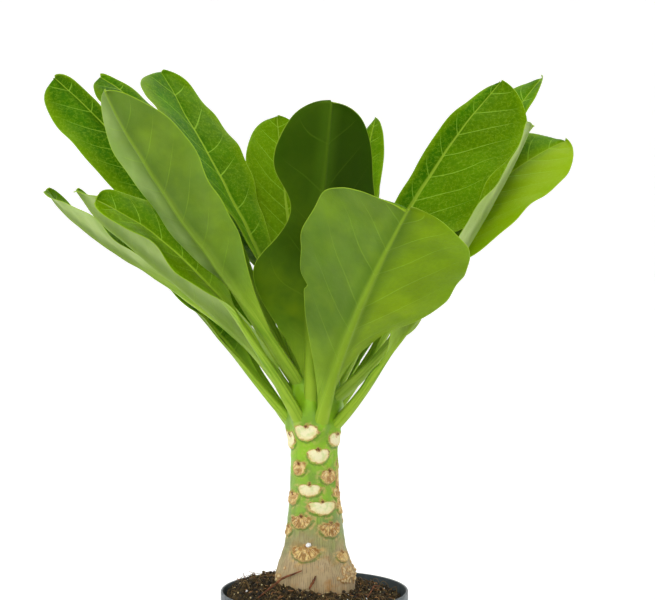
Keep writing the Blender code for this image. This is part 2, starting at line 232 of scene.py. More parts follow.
# The shares of a leaf's length over which it rolls over, its waves grow, and the blade opens past the stalk's end.
ROLL_SPAN = (0.05, 0.65)
WAVE_SPAN = (0.25, 0.60)
OPENING = 0.25
LONG_WAVES = 3
CRUMPLE_LENGTH = 0.024
CRUMPLE_WIDTH = 0.017
# The side veins stand at the spacing that is set on a leaf this long, and stray by this much over such a distance.
VEIN_LEAF = 0.2
VEIN_WANDER = 0.0035
WANDER_SIZE = 0.028
# How far a side vein runs towards the tip for each half width outwards: at the midrib, and more by the margin.
VEIN_SLANT = (0.62, 0.45)
GROOVE_WIDTH = 0.0012
# The rib under the midrib is this high and wide at the root, on top of its height and width at the tip.
RIB_SIZE = 0.0016
RIB_ENDS = (0.0003, 0.0007)
# How closely the lines of a leaf's grid crowd to the tip, and to the midrib and the margins.
TIP_CROWDING = 1.6
EDGE_CROWDING = 0.115

# Softboxes of the studio: name, size, place, and the point that each faces.
SOFTBOXES = (
    ("top", 1.1, (0.15, 0.30, 1.45), (0, 0, 0.3)),
    ("left", 0.9, (-1.25, -0.45, 0.65), (0, 0, 0.3)),
    ("right", 0.9, (1.25, 0.25, 0.75), (0, 0, 0.3)),
    ("front", 0.8, (-0.35, -1.35, 0.85), (0, 0, 0.2)),
    ("low", 0.6, (0.15, -1.3, 0.16), (0, 0, 0.14)),
)
STUDIO_SIDES = 96
SENSOR_WIDTH = 36

# The noise repeats after this many cells of its lattice.
LATTICE = 64
# Tubes start their rings square to this direction.
TUBE_SEAM = (0.3, 0.1, 0.9)


def tone(code):
    """The linear colour of a six-digit sRGB code."""
    parts = [(code >> shift & 255) / 255 for shift in (16, 8, 0)]
    return tuple(p / 12.92 if p <= 0.04045 else ((p + 0.055) / 1.055) ** 2.4 for p in parts)


@dataclass
class Leaf:
    """One leaf: where its petiole leaves the stem, where its tip is, and how its blade is shaped and coloured.

    root is the turn and height of the petiole on the stem. tip is the turn, reach and height of the blade's tip.
    lift and nod are the climb of the midrib at the root and at the tip, and tail is how far from the tip the nod
    acts, as a share of the leaf's length.
    left and right are the half widths of the blade, as seen from above with the tip pointing away.
    roll raises the right half, and fold is each half's rise from the midrib. wave is the height of the margin's
    long waves, and phase starts them.
    stalk and widest are where along the leaf the blade starts and is widest. bay is a dent in the outline and nick
    a small notch: its side, its place along the leaf and how deep it cuts into the half.
    yellow is how far each half's green turns to yellow: partly the leaf's own tint and partly painted light where
    light shines through the blade. Below zero it turns to a dark olive, which is painted shade. pale is how much
    wax each half carries underneath, partly its own pale bloom and partly a painted sheen. gap stretches the
    distance between the side veins. young leaves have a coarser grid.
    """

    root: tuple
    tip: tuple
    lift: float
    nod: float
    left: float
    right: float
    roll: float = 0
    fold: tuple = (12, 12)
    wave: float = 0.0025
    phase: float = 0
    stalk: float = 0.20
    widest: float = 0.70
    bay: tuple = (0, 0, 0)
    nick: tuple = (0, 0, 0)
    tail: float = 0.36
    young: bool = False
    yellow: tuple = (0.2, 0.2)
    pale: tuple = (0.4, 0.4)
    gap: float = 1.0


LEAVES = (
    # The left side, from the lowest leaf to the highest.
    Leaf((180, 0.215), (158, 0.146, 0.348), 46, 42, 0.009, 0.026, roll=14, yellow=(-0.3, -0.2), pale=(0.2, 0.2)),
    Leaf(
        (208, 0.227), (190, 0.150, 0.360), 60, 60, 0.022, 0.018, roll=-8, fold=(36, 36), tail=0.20,
        stalk=0.08, widest=0.56, pale=(0.75, 0.75),
    ),
    Leaf(
        (172, 0.229), (176, 0.175, 0.363), 67, 58, 0.021, 0.020, fold=(30, 28), tail=0.26, stalk=0.42,
        pale=(0.8, 0.6),
    ),
    Leaf((232, 0.216), (205, 0.143, 0.352), 53, 24, 0.018, 0.024, roll=45, stalk=0.42, yellow=(0.35, 0.15)),
    Leaf(
        (222, 0.239), (217, 0.150, 0.412), 52, 60, 0.030, 0.017, roll=-30, yellow=(0.1, 0.0), pale=(0.1, 0.5), gap=1.3,
    ),
    Leaf(
        (186, 0.240), (166, 0.181, 0.441), 56, 40, 0.029, 0.010, roll=45, fold=(4, 75), widest=0.80,
        yellow=(-0.1, -0.4),
    ),
    Leaf((150, 0.238), (148, 0.181, 0.451), 60, 30, 0.028, 0.010, roll=30, yellow=(-0.35, 0.0)),
    Leaf((140, 0.247), (142, 0.138, 0.452), 66, 52, 0.042, 0.026, roll=4, widest=0.74, yellow=(-0.12, 0.15), gap=1.3),
    # The middle, behind and in front of the growing tip.
    Leaf((104, 0.238), (106, 0.101, 0.422), 60, 70, 0.029, 0.026, yellow=(0.35, 0.35)),
    Leaf(
        (262, 0.229), (281, 0.056, 0.411), 78, 70, 0.041, 0.044, bay=(1, 0.66, 0.60), stalk=0.06, widest=0.55,
        yellow=(-0.85, -0.7), pale=(0, 0), gap=1.7,
    ),
    Leaf(
        (286, 0.2145), (291, 0.146, 0.341), 50, 35, 0.052, 0.052, roll=32, fold=(24, 22), phase=180,
        nick=(1, 0.50, 0.12), stalk=0.07, yellow=(0.5, -0.25), pale=(0.0, 0.1), gap=1.7,
    ),
    Leaf((66, 0.238), (66, 0.104, 0.420), 68, 60, 0.018, 0.019, widest=0.40),
    # The right side.
    Leaf((28, 0.239), (25, 0.140, 0.441), 68, 46, 0.012, 0.050, roll=-50, widest=0.67, yellow=(0.0, 0.2)),
    Leaf((48, 0.227), (35, 0.200, 0.453), 54, 45, 0.024, 0.012, roll=-20, yellow=(0.1, 0.1)),
    Leaf((342, 0.229), (358, 0.138, 0.404), 39, 66, 0.012, 0.020, fold=(25, 25), yellow=(0.4, 0.4), pale=(1, 1)),
    Leaf((15, 0.223), (16, 0.176, 0.399), 50, 22, 0.036, 0.044, roll=-35, yellow=(0.1, 1), pale=(0.3, 0.3)),
    Leaf((332, 0.212), (334, 0.102, 0.314), 40, 40, 0.019, 0.017, stalk=0.42, yellow=(0.5, 0.5), pale=(0.2, 0.2)),
    # The far side of the rosette.
    Leaf((52, 0.215), (57, 0.146, 0.343), 44, 32, 0.034, 0.034, yellow=(0.4, 0.4)),
    Leaf((98, 0.215), (92, 0.132, 0.358), 46, 34, 0.032, 0.034, yellow=(0.1, 0.1)),
    Leaf((148, 0.209), (138, 0.150, 0.338), 42, 30, 0.022, 0.030, stalk=0.30, yellow=(0.3, 0.3)),
    Leaf((86, 0.227), (81, 0.136, 0.401), 53, 44, 0.030, 0.032, yellow=(0.3, 0.3)),
    Leaf((126, 0.225), (119, 0.134, 0.390), 66, 42, 0.028, 0.028, stalk=0.40, yellow=(0.1, 0.2)),
    # The young leaves at the centre.
    Leaf((4, 0.248), (14, 0.028, 0.330), 74, 76, 0.012, 0.012, young=True, wave=0.001, yellow=(0.8, 0.8)),
    Leaf((250, 0.247), (255, 0.024, 0.318), 72, 78, 0.011, 0.011, young=True, wave=0.001, yellow=(0.8, 0.8)),
)


# Arrays and meshes that every piece uses


def rise_between(low, high, x):
    """0 below low, 1 above high, and a smooth S between them."""
    s = np.clip((x - low) / (high - low), 0, 1)
    return s * s * (3 - 2 * s)


def turned_away(a, b):
    """The turn from b to a, between -180 and 180."""
    return (a - b + 180) % 360 - 180


def lattice_noise(x, y, seed):
    """Smooth noise from -1 to 1: random heights on a square lattice, one unit apart, blended by an S between them."""
    table = np.random.default_rng(seed).uniform(-1, 1, (LATTICE, LATTICE))
    column, row = np.floor(x).astype(int), np.floor(y).astype(int)
    a, b = rise_between(0, 1, x - column), rise_between(0, 1, y - row)
    left, right, low, high = (line % LATTICE for line in (column, column + 1, row, row + 1))
    bottom = table[left, low] * (1 - a) + table[right, low] * a
    top = table[left, high] * (1 - a) + table[right, high] * a
    return bottom * (1 - b) + top * b


def rough_noise(x, y, seed, octaves=3):
    """Lattice noise with finer and weaker copies added, each half the size and half the height of the last."""
    total = sum(lattice_noise(x * 2**i, y * 2**i, seed + i) / 2**i for i in range(octaves))
    return total / (2 - 2 ** (1 - octaves))


def quad_mesh(name, points, faces, attributes):
    """A mesh of quads from an array of points and one of corner numbers, with named values at its points.

    Points that fall together, as at a pole or a seam, are merged, and the faces are turned to point outwards.
    """
    mesh = bpy.data.meshes.new(name)
    mesh.vertices.add(len(points))
    mesh.vertices.foreach_set("co", np.asarray(points, np.float32).ravel())
    mesh.loops.add(faces.size)
    mesh.loops.foreach_set("vertex_index", faces.astype(np.int32).ravel())
    mesh.polygons.add(len(faces))
    mesh.polygons.foreach_set("loop_start", np.arange(0, faces.size, faces.shape[1], dtype=np.int32))
    mesh.update(calc_edges=True)
    for label, values in attributes.items():
        values = np.asarray(values, np.float32)
        kind, key = ("FLOAT", "value") if values.ndim == 1 else ("FLOAT_VECTOR", "vector")
        mesh.attributes.new(label, kind, "POINT").data.foreach_set(key, values.ravel())
    shape = bmesh.new()
    shape.from_mesh(mesh)
    bmesh.ops.remove_doubles(shape, verts=shape.verts, dist=1e-6)
    bmesh.ops.recalc_face_normals(shape, faces=shape.faces)
    shape.to_mesh(mesh)
    shape.free()
    mesh.shade_smooth()
    return mesh


def ring_faces(rings, sides):
    """The quads between each ring of points and the next, closed round."""
    start = np.arange(rings - 1)[:, None] * sides
    here = np.arange(sides)[None, :]
    after = (here + 1) % sides
    corners = [start + here, start + after, start + sides + after, start + sides + here]
    return np.stack(corners, axis=-1).reshape(-1, 4)


def turned_points(profile, sides):
    """Points of a profile of radius and height turned round the Z axis, one ring for each point of the profile."""
    profile = np.asarray(profile, float)
    turn = np.linspace(0, 2 * np.pi, sides, endpoint=False)
    radius, height = profile[:, :1], profile[:, 1:]
    x, y = radius * np.cos(turn), radius * np.sin(turn)
    return np.stack([x, y, np.broadcast_to(height, x.shape)], axis=-1).reshape(-1, 3)


def add_piece(name, mesh, finish, nodes=()):
    """Adds a finished piece that rides on the part's body, wears the finish given and hides these nodes, which it
    replaces.
    """
    old = bpy.data.objects.get(name)
    if old:
        bpy.data.objects.remove(old)
    made = bpy.data.objects.new(name, mesh)
    mesh.materials.append(finish)
    bpy.context.scene.collection.objects.link(made)
    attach(made, BODY)
    if nodes:
        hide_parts(*nodes)


def tube_mesh(name, tubes, sides, shade=None):
    """One mesh of closed tubes, each a path of points and its radius at each.

    The rings stand square to the path, with a point at each end. shade gives the colour value at the points.
    """
    turn = np.linspace(0, 2 * np.pi, sides, endpoint=False)[:, None]
    parts, faces, total = [], [], 0
    for path, radii in tubes:
        tangent = np.gradient(path, axis=0)
        tangent /= np.linalg.norm(tangent, axis=1, keepdims=True)
        across = np.cross(tangent, TUBE_SEAM)
        across /= np.linalg.norm(across, axis=1, keepdims=True)
        up = np.cross(across, tangent)
        circles = radii[:, None, None] * (np.cos(turn) * across[:, None] + np.sin(turn) * up[:, None])
        ends = np.repeat(path[[0, -1], None], sides, axis=1)
        rings = np.concatenate([ends[:1], path[:, None] + circles, ends[1:]])
        parts.append(rings.reshape(-1, 3))
        faces.append(ring_faces(len(rings), sides) + total)
        total += len(rings) * sides
    points = np.vstack(parts)
    values = shade(points) if shade else np.full(total, 0.5)
    return quad_mesh(name, points, np.vstack(faces), {"shade": values})


def chip_mesh(name, places, sizes, seed, tilt, shade):
    """One mesh of many small angular grains: twenty-sided balls with their corners pushed about.

    Each is stretched by its three sizes, tilted at random but kept flatter on the ground than upright, and moved
    to its place. shade is each one's colour value.
    """
    ball = bmesh.new()
    bmesh.ops.create_icosphere(ball, subdivisions=1, radius=1)
    corners = np.array([v.co[:] for v in ball.verts])
    faces = np.array([[v.index for v in f.verts] for f in ball.faces])
    ball.free()
    draw = np.random.default_rng(seed)
    count = len(places)
    x, y, z = np.moveaxis(corners * draw.uniform(0.65, 1.2, (count, len(corners), 1)) * sizes[:, None, :], -1, 0)
    turn, lean = draw.uniform(0, 2 * np.pi, count)[:, None], draw.normal(0, tilt, count)[:, None]
    x, z = x * np.cos(lean) + z * np.sin(lean), z * np.cos(lean) - x * np.sin(lean)
    x, y = x * np.cos(turn) - y * np.sin(turn), x * np.sin(turn) + y * np.cos(turn)
    points = np.stack([x, y, z], axis=-1) + places[:, None, :]
    numbers = faces[None] + (np.arange(count) * len(corners))[:, None, None]
    values = {"shade": np.repeat(shade, len(corners))}
    return quad_mesh(name, points.reshape(-1, 3), numbers.reshape(-1, 3), values)


class Value:
    """A value or colour inside a material. A sum, difference or product with it adds a node that works it out."""

    def __init__(self, paint, socket):
        self.paint, self.socket = paint, socket

    def __add__(self, other):
        return self.paint.math("ADD", self, other)

    def __sub__(self, other):
        return self.paint.math("SUBTRACT", self, other)

    def __rsub__(self, other):
        return self.paint.math("SUBTRACT", other, self)

    def __mul__(self, other):
        return self.paint.math("MULTIPLY", self, other)


class Paint:
    """A node material. Each method adds a node and gives back the value that comes out of it."""

    def __init__(self, name):
        old = bpy.data.materials.get(name)
        if old:
            bpy.data.materials.remove(old)
        self.material = bpy.data.materials.new(name)
        self.material.use_nodes = True
        self.tree = self.material.node_tree
        self.shader = self.tree.nodes["Principled BSDF"]

    def put(self, socket, value):
        """Wires a value into a socket, or sets the socket to a number, a vector or a colour."""
        if isinstance(value, Value):
            self.tree.links.new(value.socket, socket)
        elif value is not None:
            socket.default_value = (*value, 1) if socket.type == "RGBA" else value

    def node(self, kind, inputs, output=0, **settings):
        """Adds a node with these settings and inputs, and gives back one of its outputs."""
        made = self.tree.nodes.new("ShaderNode" + kind)
        for key, value in settings.items():
            setattr(made, key, value)
        for key, value in inputs.items():
            self.put(made.inputs[key], value)
        return Value(self, made.outputs[output])

    def finish(self, **inputs):
        """Sets the shader's own sockets by name, with underscores for spaces."""
        for key, value in inputs.items():
            self.put(self.shader.inputs[key.replace("_", " ")], value)
        return self.material

    def math(self, operation, a, b=None):
        return self.node("Math", {0: a, 1: b}, operation=operation)

    def step(self, value, low, high, start=0.0, end=1.0):
        """start below low, end above high, and a smooth S between them."""
        inputs = {"Value": value, "From Min": low, "From Max": high, "To Min": start, "To Max": end}
        return self.node("MapRange", inputs, "Result", interpolation_type="SMOOTHSTEP")

    def mix(self, amount, a, b):
        return self.node("Mix", {0: amount, 6: a, 7: b}, 2, data_type="RGBA")

    def coats(self, colour, *coats):
        """A colour with others laid over it in turn, each by its amount."""
        for amount, coat in coats:
            colour = self.mix(amount, colour, coat)
        return colour

    def attribute(self, name, output="Fac"):
        return self.node("Attribute", {}, output, attribute_name=name)

    def split(self, vector):
        """The three parts of a vector, or of an attribute that is named."""
        if isinstance(vector, str):
            vector = self.attribute(vector, "Vector")
        made = self.node("SeparateXYZ", {0: vector}).socket.node
        return [Value(self, part) for part in made.outputs]

    def places(self, stretch=(1, 1, 1)):
        """Object coordinates, stretched along each axis."""
        spots = self.node("TexCoord", {}, "Object")
        return self.node("VectorMath", {0: spots, 1: stretch}, operation="MULTIPLY")

    def noise(self, vector, scale, detail=3.0, roughness=0.5):
        return self.node("TexNoise", {"Vector": vector, "Scale": scale, "Detail": detail, "Roughness": roughness})

    def cells(self, vector, scale):
        """The distance to the nearest edge between random cells."""
        return self.node("TexVoronoi", {"Vector": vector, "Scale": scale}, "Distance", feature="DISTANCE_TO_EDGE")

    def bump(self, height, strength, distance, under=None):
        inputs = {"Height": height, "Strength": strength, "Distance": distance, "Normal": under}
        return self.node("Bump", inputs, "Normal")


# Leaves


def heading(turn, climb):
    """The unit vector at this turn that climbs at this angle."""
    turn, climb = math.radians(turn), math.radians(climb)
    return np.array((math.cos(turn) * math.cos(climb), math.sin(turn) * math.cos(climb), math.sin(climb)))


def trunk_profile(z):
    """The stem's plain radius at height z, straight between the profile's points."""
    heights, radii = zip(*TRUNK_PROFILE)
    return np.interp(z, heights[::-1], radii[::-1])


def midrib(leaf, s):
    """Points and unit tangents of the midrib at s, which runs from 0 at the root to 1 at the tip, and its chord.

    The line is a cubic Bezier curve: the root and the lift set its start, the tip and the nod its end.
    """
    turn, height = leaf.root
    out = heading(turn, leaf.lift)
    start = heading(turn, 0) * trunk_profile(height) + (0, 0, height) - out * ROOT_SINK
    tip_turn, reach, top = leaf.tip
    end = heading(tip_turn, 0) * reach + (0, 0, top)
    chord = end - start
    length = np.linalg.norm(chord)
    bearing = math.degrees(math.atan2(chord[1], chord[0]))
    first = start + out * LIFT_REACH * length
    last = end - heading(bearing, leaf.nod) * leaf.tail * length
    s = s[:, None]
    left = 1 - s
    line = start * left**3 + first * 3 * s * left**2 + last * 3 * s**2 * left + end * s**3
    tangent = (first - start) * left**2 + (last - first) * 2 * s * left + (end - last) * s**2
    return line, tangent / np.linalg.norm(tangent, axis=1, keepdims=True), length


def half_width(leaf, s, side, clasp):
    """Half the width of the leaf at s: a petiole that clasps the stem, a long widening, then a round end.

    The outline wanders by a few hundredths. A bay or a nick is a bell-shaped dent in one margin.
    """
    widest = np.where(side > 0, leaf.right, leaf.left)
    opening = rise_between(leaf.stalk, leaf.widest, s) ** 0.85
    past = np.clip((s - leaf.widest) / (1 - leaf.widest), 0, 1)
    closing = np.sqrt(np.maximum(1 - past**TIP_FULLNESS, TIP_BLUNTNESS))
    foot = 1 + clasp * np.exp(-s / CLASP_LENGTH)
    dent = 0
    for (dent_side, place, depth), length, power in ((leaf.bay, BAY_LENGTH, 2), (leaf.nick, NICK_LENGTH, 1.5)):
        dent = dent + depth * (side == dent_side) * np.exp(-(np.abs((s - place) / length) ** power))
    wander = 1 + OUTLINE_WANDER * lattice_noise(s * 13, side * 5 + leaf.root[0], 17) * opening
    return PETIOLE_WIDTH * foot * (1 - opening) + widest * opening * closing * wander * (1 - dent)


def leaf_sheet(leaf, number, s, u, look):
    """The leaf's upper face at s along the midrib and u across it, and the values that its colours follow.

    Each half rises from the midrib at the fold's angle, with a trace more by its margin. The petiole is a
    channel, which opens into the blade, and the fold flattens out at the tip. Long and short sine waves lift
    and lower the margin, and slow noise the whole blade. Side veins leave the midrib at a slant and bend
    towards the tip: their phase grows by one from each to the next. The blade is puffed up between them by the
    sine of the phase, and dips along the midrib.
    """
    side = np.where(u < 0, -1.0, 1.0)
    out = np.abs(u)
    line, tangent, length = midrib(leaf, s)
    level = np.cross(tangent, (0, 0, 1))
    level /= np.linalg.norm(level, axis=1, keepdims=True)
    roll = (np.radians(leaf.roll) * rise_between(*ROLL_SPAN, s))[:, None]
    right = level * np.cos(roll) + np.cross(level, tangent) * np.sin(roll)
    up = np.cross(right, tangent)
    width = half_width(leaf, s, side, look.clasp)
    fold = np.radians(np.where(side > 0, leaf.fold[1], leaf.fold[0]))
    channel = np.radians(PETIOLE_CHANNEL) * (1 - rise_between(0.1, leaf.widest, s))
    angle = fold * (1 - TIP_FLATTENING * rise_between(0.8, 1, s)) + channel + MARGIN_LIFT * (0.2 + out)
    arc, across = s * length, u * width

    blade = rise_between(*WAVE_SPAN, s)
    opened = rise_between(leaf.stalk, leaf.stalk + OPENING, s)
    slow = np.sin(2 * math.pi * LONG_WAVES * s + np.radians(leaf.phase) + 1.3 * side)
    quick = np.sin(2 * math.pi * (arc / look.ruffle_length + 0.37 * number) + 2.1 * side)
    hollows = rough_noise(arc / CRUMPLE_LENGTH + 3, across / CRUMPLE_WIDTH + 9, 40 + number, 2)
    warp = VEIN_WANDER * leaf.gap * lattice_noise(arc / WANDER_SIZE + number, across / WANDER_SIZE + 7, number)
    advance = width * out * (VEIN_SLANT[0] + VEIN_SLANT[1] * out)
    spacing = look.vein_spacing * length / VEIN_LEAF * leaf.gap
    phase = (arc - advance + warp) / spacing + 0.2 * side * out + 0.3 * number
    puff = np.abs(np.sin(math.pi * phase)) ** 0.8 * (1 - out**6) * rise_between(0.02, 0.2, out)
    groove = np.exp(-((across / GROOVE_WIDTH) ** 2)) * rise_between(0.1, 0.4, s)
    height = width * out * np.sin(angle) + opened * look.puff * puff - look.groove * groove
    height = height + blade * (leaf.wave * slow * out**2 + look.ruffle * quick * out**5 + look.crumple * hollows)
    points = line + right * (across * np.cos(angle))[:, None] + up * height[:, None]
    return points, {
        "place": np.stack([arc, across, width], axis=1),
        "phase": phase,
        "share": np.stack([s, out, opened], axis=1),
    }


def leaf_depth(leaf, s, place, look):
    """The thickness: a round petiole, a rib under the midrib that thins to the tip, and a thin margin."""
    across, width = place[:, 1], place[:, 2]
    stem = 1 - rise_between(0.05, leaf.stalk + 0.40, s)
    rib_height, rib_width = (RIB_SIZE * (1 - s) + end for end in RIB_ENDS)
    blade = look.thickness * (1 - 0.4 * (across / width) ** 4)
    round_petiole = look.petiole * stem**1.5 * np.sqrt(np.clip(1 - (across / (1.25 * PETIOLE_WIDTH)) ** 2, 0, 1))
    return blade + np.maximum(round_petiole, rib_height * np.exp(-((across / rib_width) ** 2)))


def leaf_mesh(leaf, number, look):
    """A closed leaf: the upper face's grid, the same grid let down by the thickness, and a rim that joins them.

    The grid's lines lie closest by the midrib, the margins and the tip.
    """
    rows = look.rows // 2 if leaf.young else look.rows
    columns = look.columns
    x, t = np.linspace(0, 1, rows + 1), np.linspace(-1, 1, columns + 1)
    s, u = np.meshgrid(1 - (1 - x) ** TIP_CROWDING, t - EDGE_CROWDING * np.sin(2 * np.pi * t), indexing="ij")
    s, u = s.ravel(), u.ravel()
    upper, values = leaf_sheet(leaf, number, s, u, look)
    grid = upper.reshape(rows + 1, columns + 1, 3)
    normal = np.cross(np.gradient(grid, axis=1), np.gradient(grid, axis=0)).reshape(-1, 3)
    normal /= np.maximum(np.linalg.norm(normal, axis=1, keepdims=True), 1e-12)
    lower = upper - normal * leaf_depth(leaf, s, values["place"], look)[:, None]
    count = len(upper)
    corner = np.arange(count).reshape(rows + 1, columns + 1)
    top = np.stack([corner[:-1, :-1], corner[:-1, 1:], corner[1:, 1:], corner[1:, :-1]], axis=-1).reshape(-1, 4)
    edge = np.concatenate([corner[0, :-1], corner[:-1, -1], corner[-1, :0:-1], corner[:0:-1, 0], corner[0, :1]])
    rim = np.stack([edge[1:], edge[:-1], edge[:-1] + count, edge[1:] + count], axis=-1)
    faces = np.vstack([top, top[:, ::-1] + count, rim])
    attributes = {label: np.concatenate([value, value]) for label, value in values.items()}
    to_right = np.tile(rise_between(-0.35, 0.35, u), 2)
    halves = [low + (high - low) * to_right for low, high in (leaf.yellow, leaf.pale)]
    attributes["looks"] = np.stack([np.repeat([0.0, 1.0], count), *halves], axis=1)
    return quad_mesh(f"leaf_blade_{number:02d}", np.vstack([upper, lower]), faces, attributes)


def leaf_paint(look):
    """Waxy green skin: deep and fresh patches, pale veins and margins above, and a matt, paler underside. Painted
    light and shade lie on both faces: yellow-green where light shines through a blade, dark olive on shaded leaves,
    blotches of light and shade and a painted sheen underneath, and a painted shadow beside the midrib.

    A vein lies where the phase is a whole number, and thins towards the margin. The midrib narrows to the tip.
    """
    paint = Paint("leaf_skin")
    arc, across, width = paint.split("place")
    along, out, opened = paint.split("share")
    under, yellow, pale = paint.split("looks")
    spots = paint.places()

    from_vein = paint.math("PINGPONG", paint.attribute("phase"), 0.5)
    vein = 1 - paint.step(from_vein, 0.004, paint.step(out, 0.1, 1.0, 0.036, 0.012))
    vein = vein * opened * paint.step(out, 0.45, 0.96, 0.75, 0.05)
    petiole = 1 - opened
    from_rib = paint.math("ABSOLUTE", across)
    rib_edge = paint.step(along, 0.0, 1.05, 0.0038, 0.0004)
    rib = paint.math("MAXIMUM", 1 - paint.step(from_rib, rib_edge * 0.4, rib_edge), petiole)
    mottle = paint.step(paint.noise(spots, 420, 4, 0.65), 0.35, 0.68)
    net = paint.step(paint.cells(spots, look.net_scale), 0.0, 0.12, 1.0, 0.0) * opened * mottle
    patches = paint.step(paint.noise(spots, 30, 4), 0.33, 0.70)
    # dark is painted shade: it lays the shaded olive on halves whose yellow is below zero, fading towards the petiole.
    dark = paint.step(yellow, -1, 0, 1.0, 0.0) * paint.step(along, 0.22, 0.60)

    # Towards the margin and where yellow is above zero, the green turns to the sunlit yellow-green: partly the leaf's
    # own tint and partly painted light shining through the blade.
    to_edge = paint.step(out, 0.50, 1.0, 0.0, 0.35)
    upper = paint.coats(
        paint.mix(patches, look.deep, look.fresh),
        (mottle * 0.16, look.sunlit),
        (paint.math("MAXIMUM", to_edge, yellow * 0.9), look.sunlit),
        (dark, look.shaded),
        (net * 0.25, look.vein),
        (vein * 0.8, look.vein),
        (rib * 0.85, look.rib),
    )

    # Painted light and painted shade: blotches of yellow-green and of dark green on the underside, where light shines
    # through it and where the leaves behind shade it.
    painted_light_patches = paint.step(paint.noise(spots, 19, 4, 0.6), 0.46, 0.68, 0.0, 0.30)
    painted_shade_patches = paint.step(paint.noise(paint.places((1, 1, 1.3)), 26, 3), 0.50, 0.70, 0.0, 0.35)
    # wax is partly the underside's own pale bloom and partly a painted sheen.
    wax_and_sheen = paint.step(paint.noise(paint.places((1, 1, 0.35)), 60, 3), 0.3, 0.75, 0.55, 1.0)
    clear = paint.step(yellow, -0.6, 0.0, 0.10, 0.28) + paint.step(yellow, 0.3, 1.0, 0.0, 0.35)
    # A painted shadow: a darker band along each side of the midrib on the underside.
    painted_rib_shadow = paint.step(from_rib - rib_edge, 0.001, 0.009, 0.5, 0.0)
    broad = paint.math("MAXIMUM", 1 - paint.step(from_rib, 0.0, rib_edge * 2.2), rib)
    lower = paint.coats(
        paint.mix(patches, look.under_deep, look.under_fresh),
        (yellow * 0.8, look.sunlit),
        (mottle * 0.18, look.under_deep),
        (painted_light_patches, look.sunlit),
        (painted_shade_patches, look.under_deep),
        (pale * wax_and_sheen, look.wax_and_sheen),
        (dark, look.shaded),
        (vein * clear, look.vein),
        (painted_rib_shadow * opened, look.under_deep),
        (broad * paint.step(pale, 0.0, 0.6, 0.40, 0.18), paint.mix(dark, look.rib, look.under_deep)),
        (petiole * (0.8 - dark), look.rib),
    )

    strands = paint.noise(paint.node("CombineXYZ", {0: arc * 25, 1: across * 900}), 1.0, 3)
    skin = paint.coats(
        paint.mix(under, upper, lower),
        (petiole * paint.step(strands, 0.40, 0.70, 0.0, 0.6), look.fresh),
        (paint.step((1 - out) * width, 0.0001, 0.0007, 0.55, 0.0) * opened, look.margin),
    )

    relief = (net + vein * 3) * -1 * paint.step(under, 0, 1, 1.0, -1.0)
    normal = paint.bump(relief, 0.35, 0.0002)
    normal = paint.bump(mottle, 0.25, 0.0002, normal)
    normal = paint.bump(paint.noise(spots, 900, 2), 0.12, 0.0002, normal)
    return paint.finish(
        Base_Color=skin,
        Normal=normal,
        Roughness=paint.step(under, 0, 1, look.gloss, 0.56) + patches * 0.06,
        Specular_IOR_Level=paint.step(under, 0, 1, 0.03, 0.11) + petiole * 0.25,
        Specular_Tint=(0.75, 1.0, 0.30),
        Subsurface_Weight=look.glow,
        Subsurface_Radius=(0.7, 1.0, 0.15),
        Subsurface_Scale=0.0016,
    )


# Stem


def all_scars():
    """Every leaf scar: the front ones, then the far side's, which climb in a spiral that stays on that side.

    The higher ones are fresher and less fibrous.
    """
    turn, height = BACK_SCAR_START
    step_turn, step_height = BACK_SCAR_STEP
    back = [
        (
            BACK_SCAR_EDGE + (turn + i * step_turn) % BACK_SCAR_SPAN,
            height + i * step_height,
            *BACK_SCAR_SIZE,
            0.15 + 0.07 * i,
            max(0.0, 1 - 0.12 * i),
        )
        for i in range(BACK_SCARS)
    ]
    return [*FRONT_SCARS, *back]


def scar_relief(turn, z, plain, look):
    """How far the scars stand out at each turn and height, and the values that their colours follow.

    A scar is a half-moon: half an ellipse below its chord and a low cap above it, with a notch at its centre. Its
    edge value is 0 at the middle of the chord and 1 on the rim, and wanders with noise. It stands on a ledge that
    drops sharply below it, its face is sunk, and dry ones have fibres that fan out from the notch. A bud mark sits
    in the notch.
    """
    around = np.radians(turn) * plain
    wobble = SCAR_WOBBLE * rough_noise(around / SCAR_WOBBLE_SIZE, z / SCAR_WOBBLE_SIZE, 3, 3)
    relief = np.zeros_like(z)
    bud = np.full_like(z, 9.0)
    values = np.zeros((5, len(z)))
    values[0] = 3.0
    for scar_turn, height, wide, tall, new, strands in all_scars():
        across = np.radians(turned_away(turn, scar_turn)) * plain / (wide / 2)
        along = (z - height) / (tall / 2) - 0.30
        notch = 1 + NOTCH[0] * np.exp(-((across / NOTCH[1]) ** 2))
        flat = 2.6 - 5 * (tall / wide - 0.6)
        rim = np.hypot(across, along * np.where(along > 0, flat * notch, 0.78)) + wobble
        below = np.clip(-along, 0, 1)
        ledge = 1 - rise_between(SCAR_EDGE[0], np.where(along > 0, 1.6, SCAR_EDGE[1]), rim)
        relief = np.maximum(relief, SCAR_RISE * ledge * (0.7 + 0.9 * below))
        relief = relief - look.scar_sink * (1 - rise_between(*SCAR_FACE, rim))
        rays = np.arctan2(across, 0.75 - along)
        inside = 1 - rise_between(0.84, 0.94, rim)
        relief = relief + inside * strands * FIBRE_DEPTH * np.sin(rays * FIBRES + 30 * wobble)
        new, strands = np.full_like(z, new), np.full_like(z, strands)
        values = np.where(rim < values[0], np.stack([rim, new, strands, rays, below]), values)
        spot = np.hypot(across * wide / 2, z - height - 0.34 * tall) / BUD_RADIUS + 6 * wobble
        bud = np.minimum(bud, spot)
        relief = relief + BUD_RISE * (1 - rise_between(0.5, 1.4, spot))
    grit = rough_noise(around / SCAR_GRIT_SIZE, z / SCAR_GRIT_SIZE, 71, 2)
    return relief + SCAR_GRIT * grit * (values[0] < 1.1), values, bud


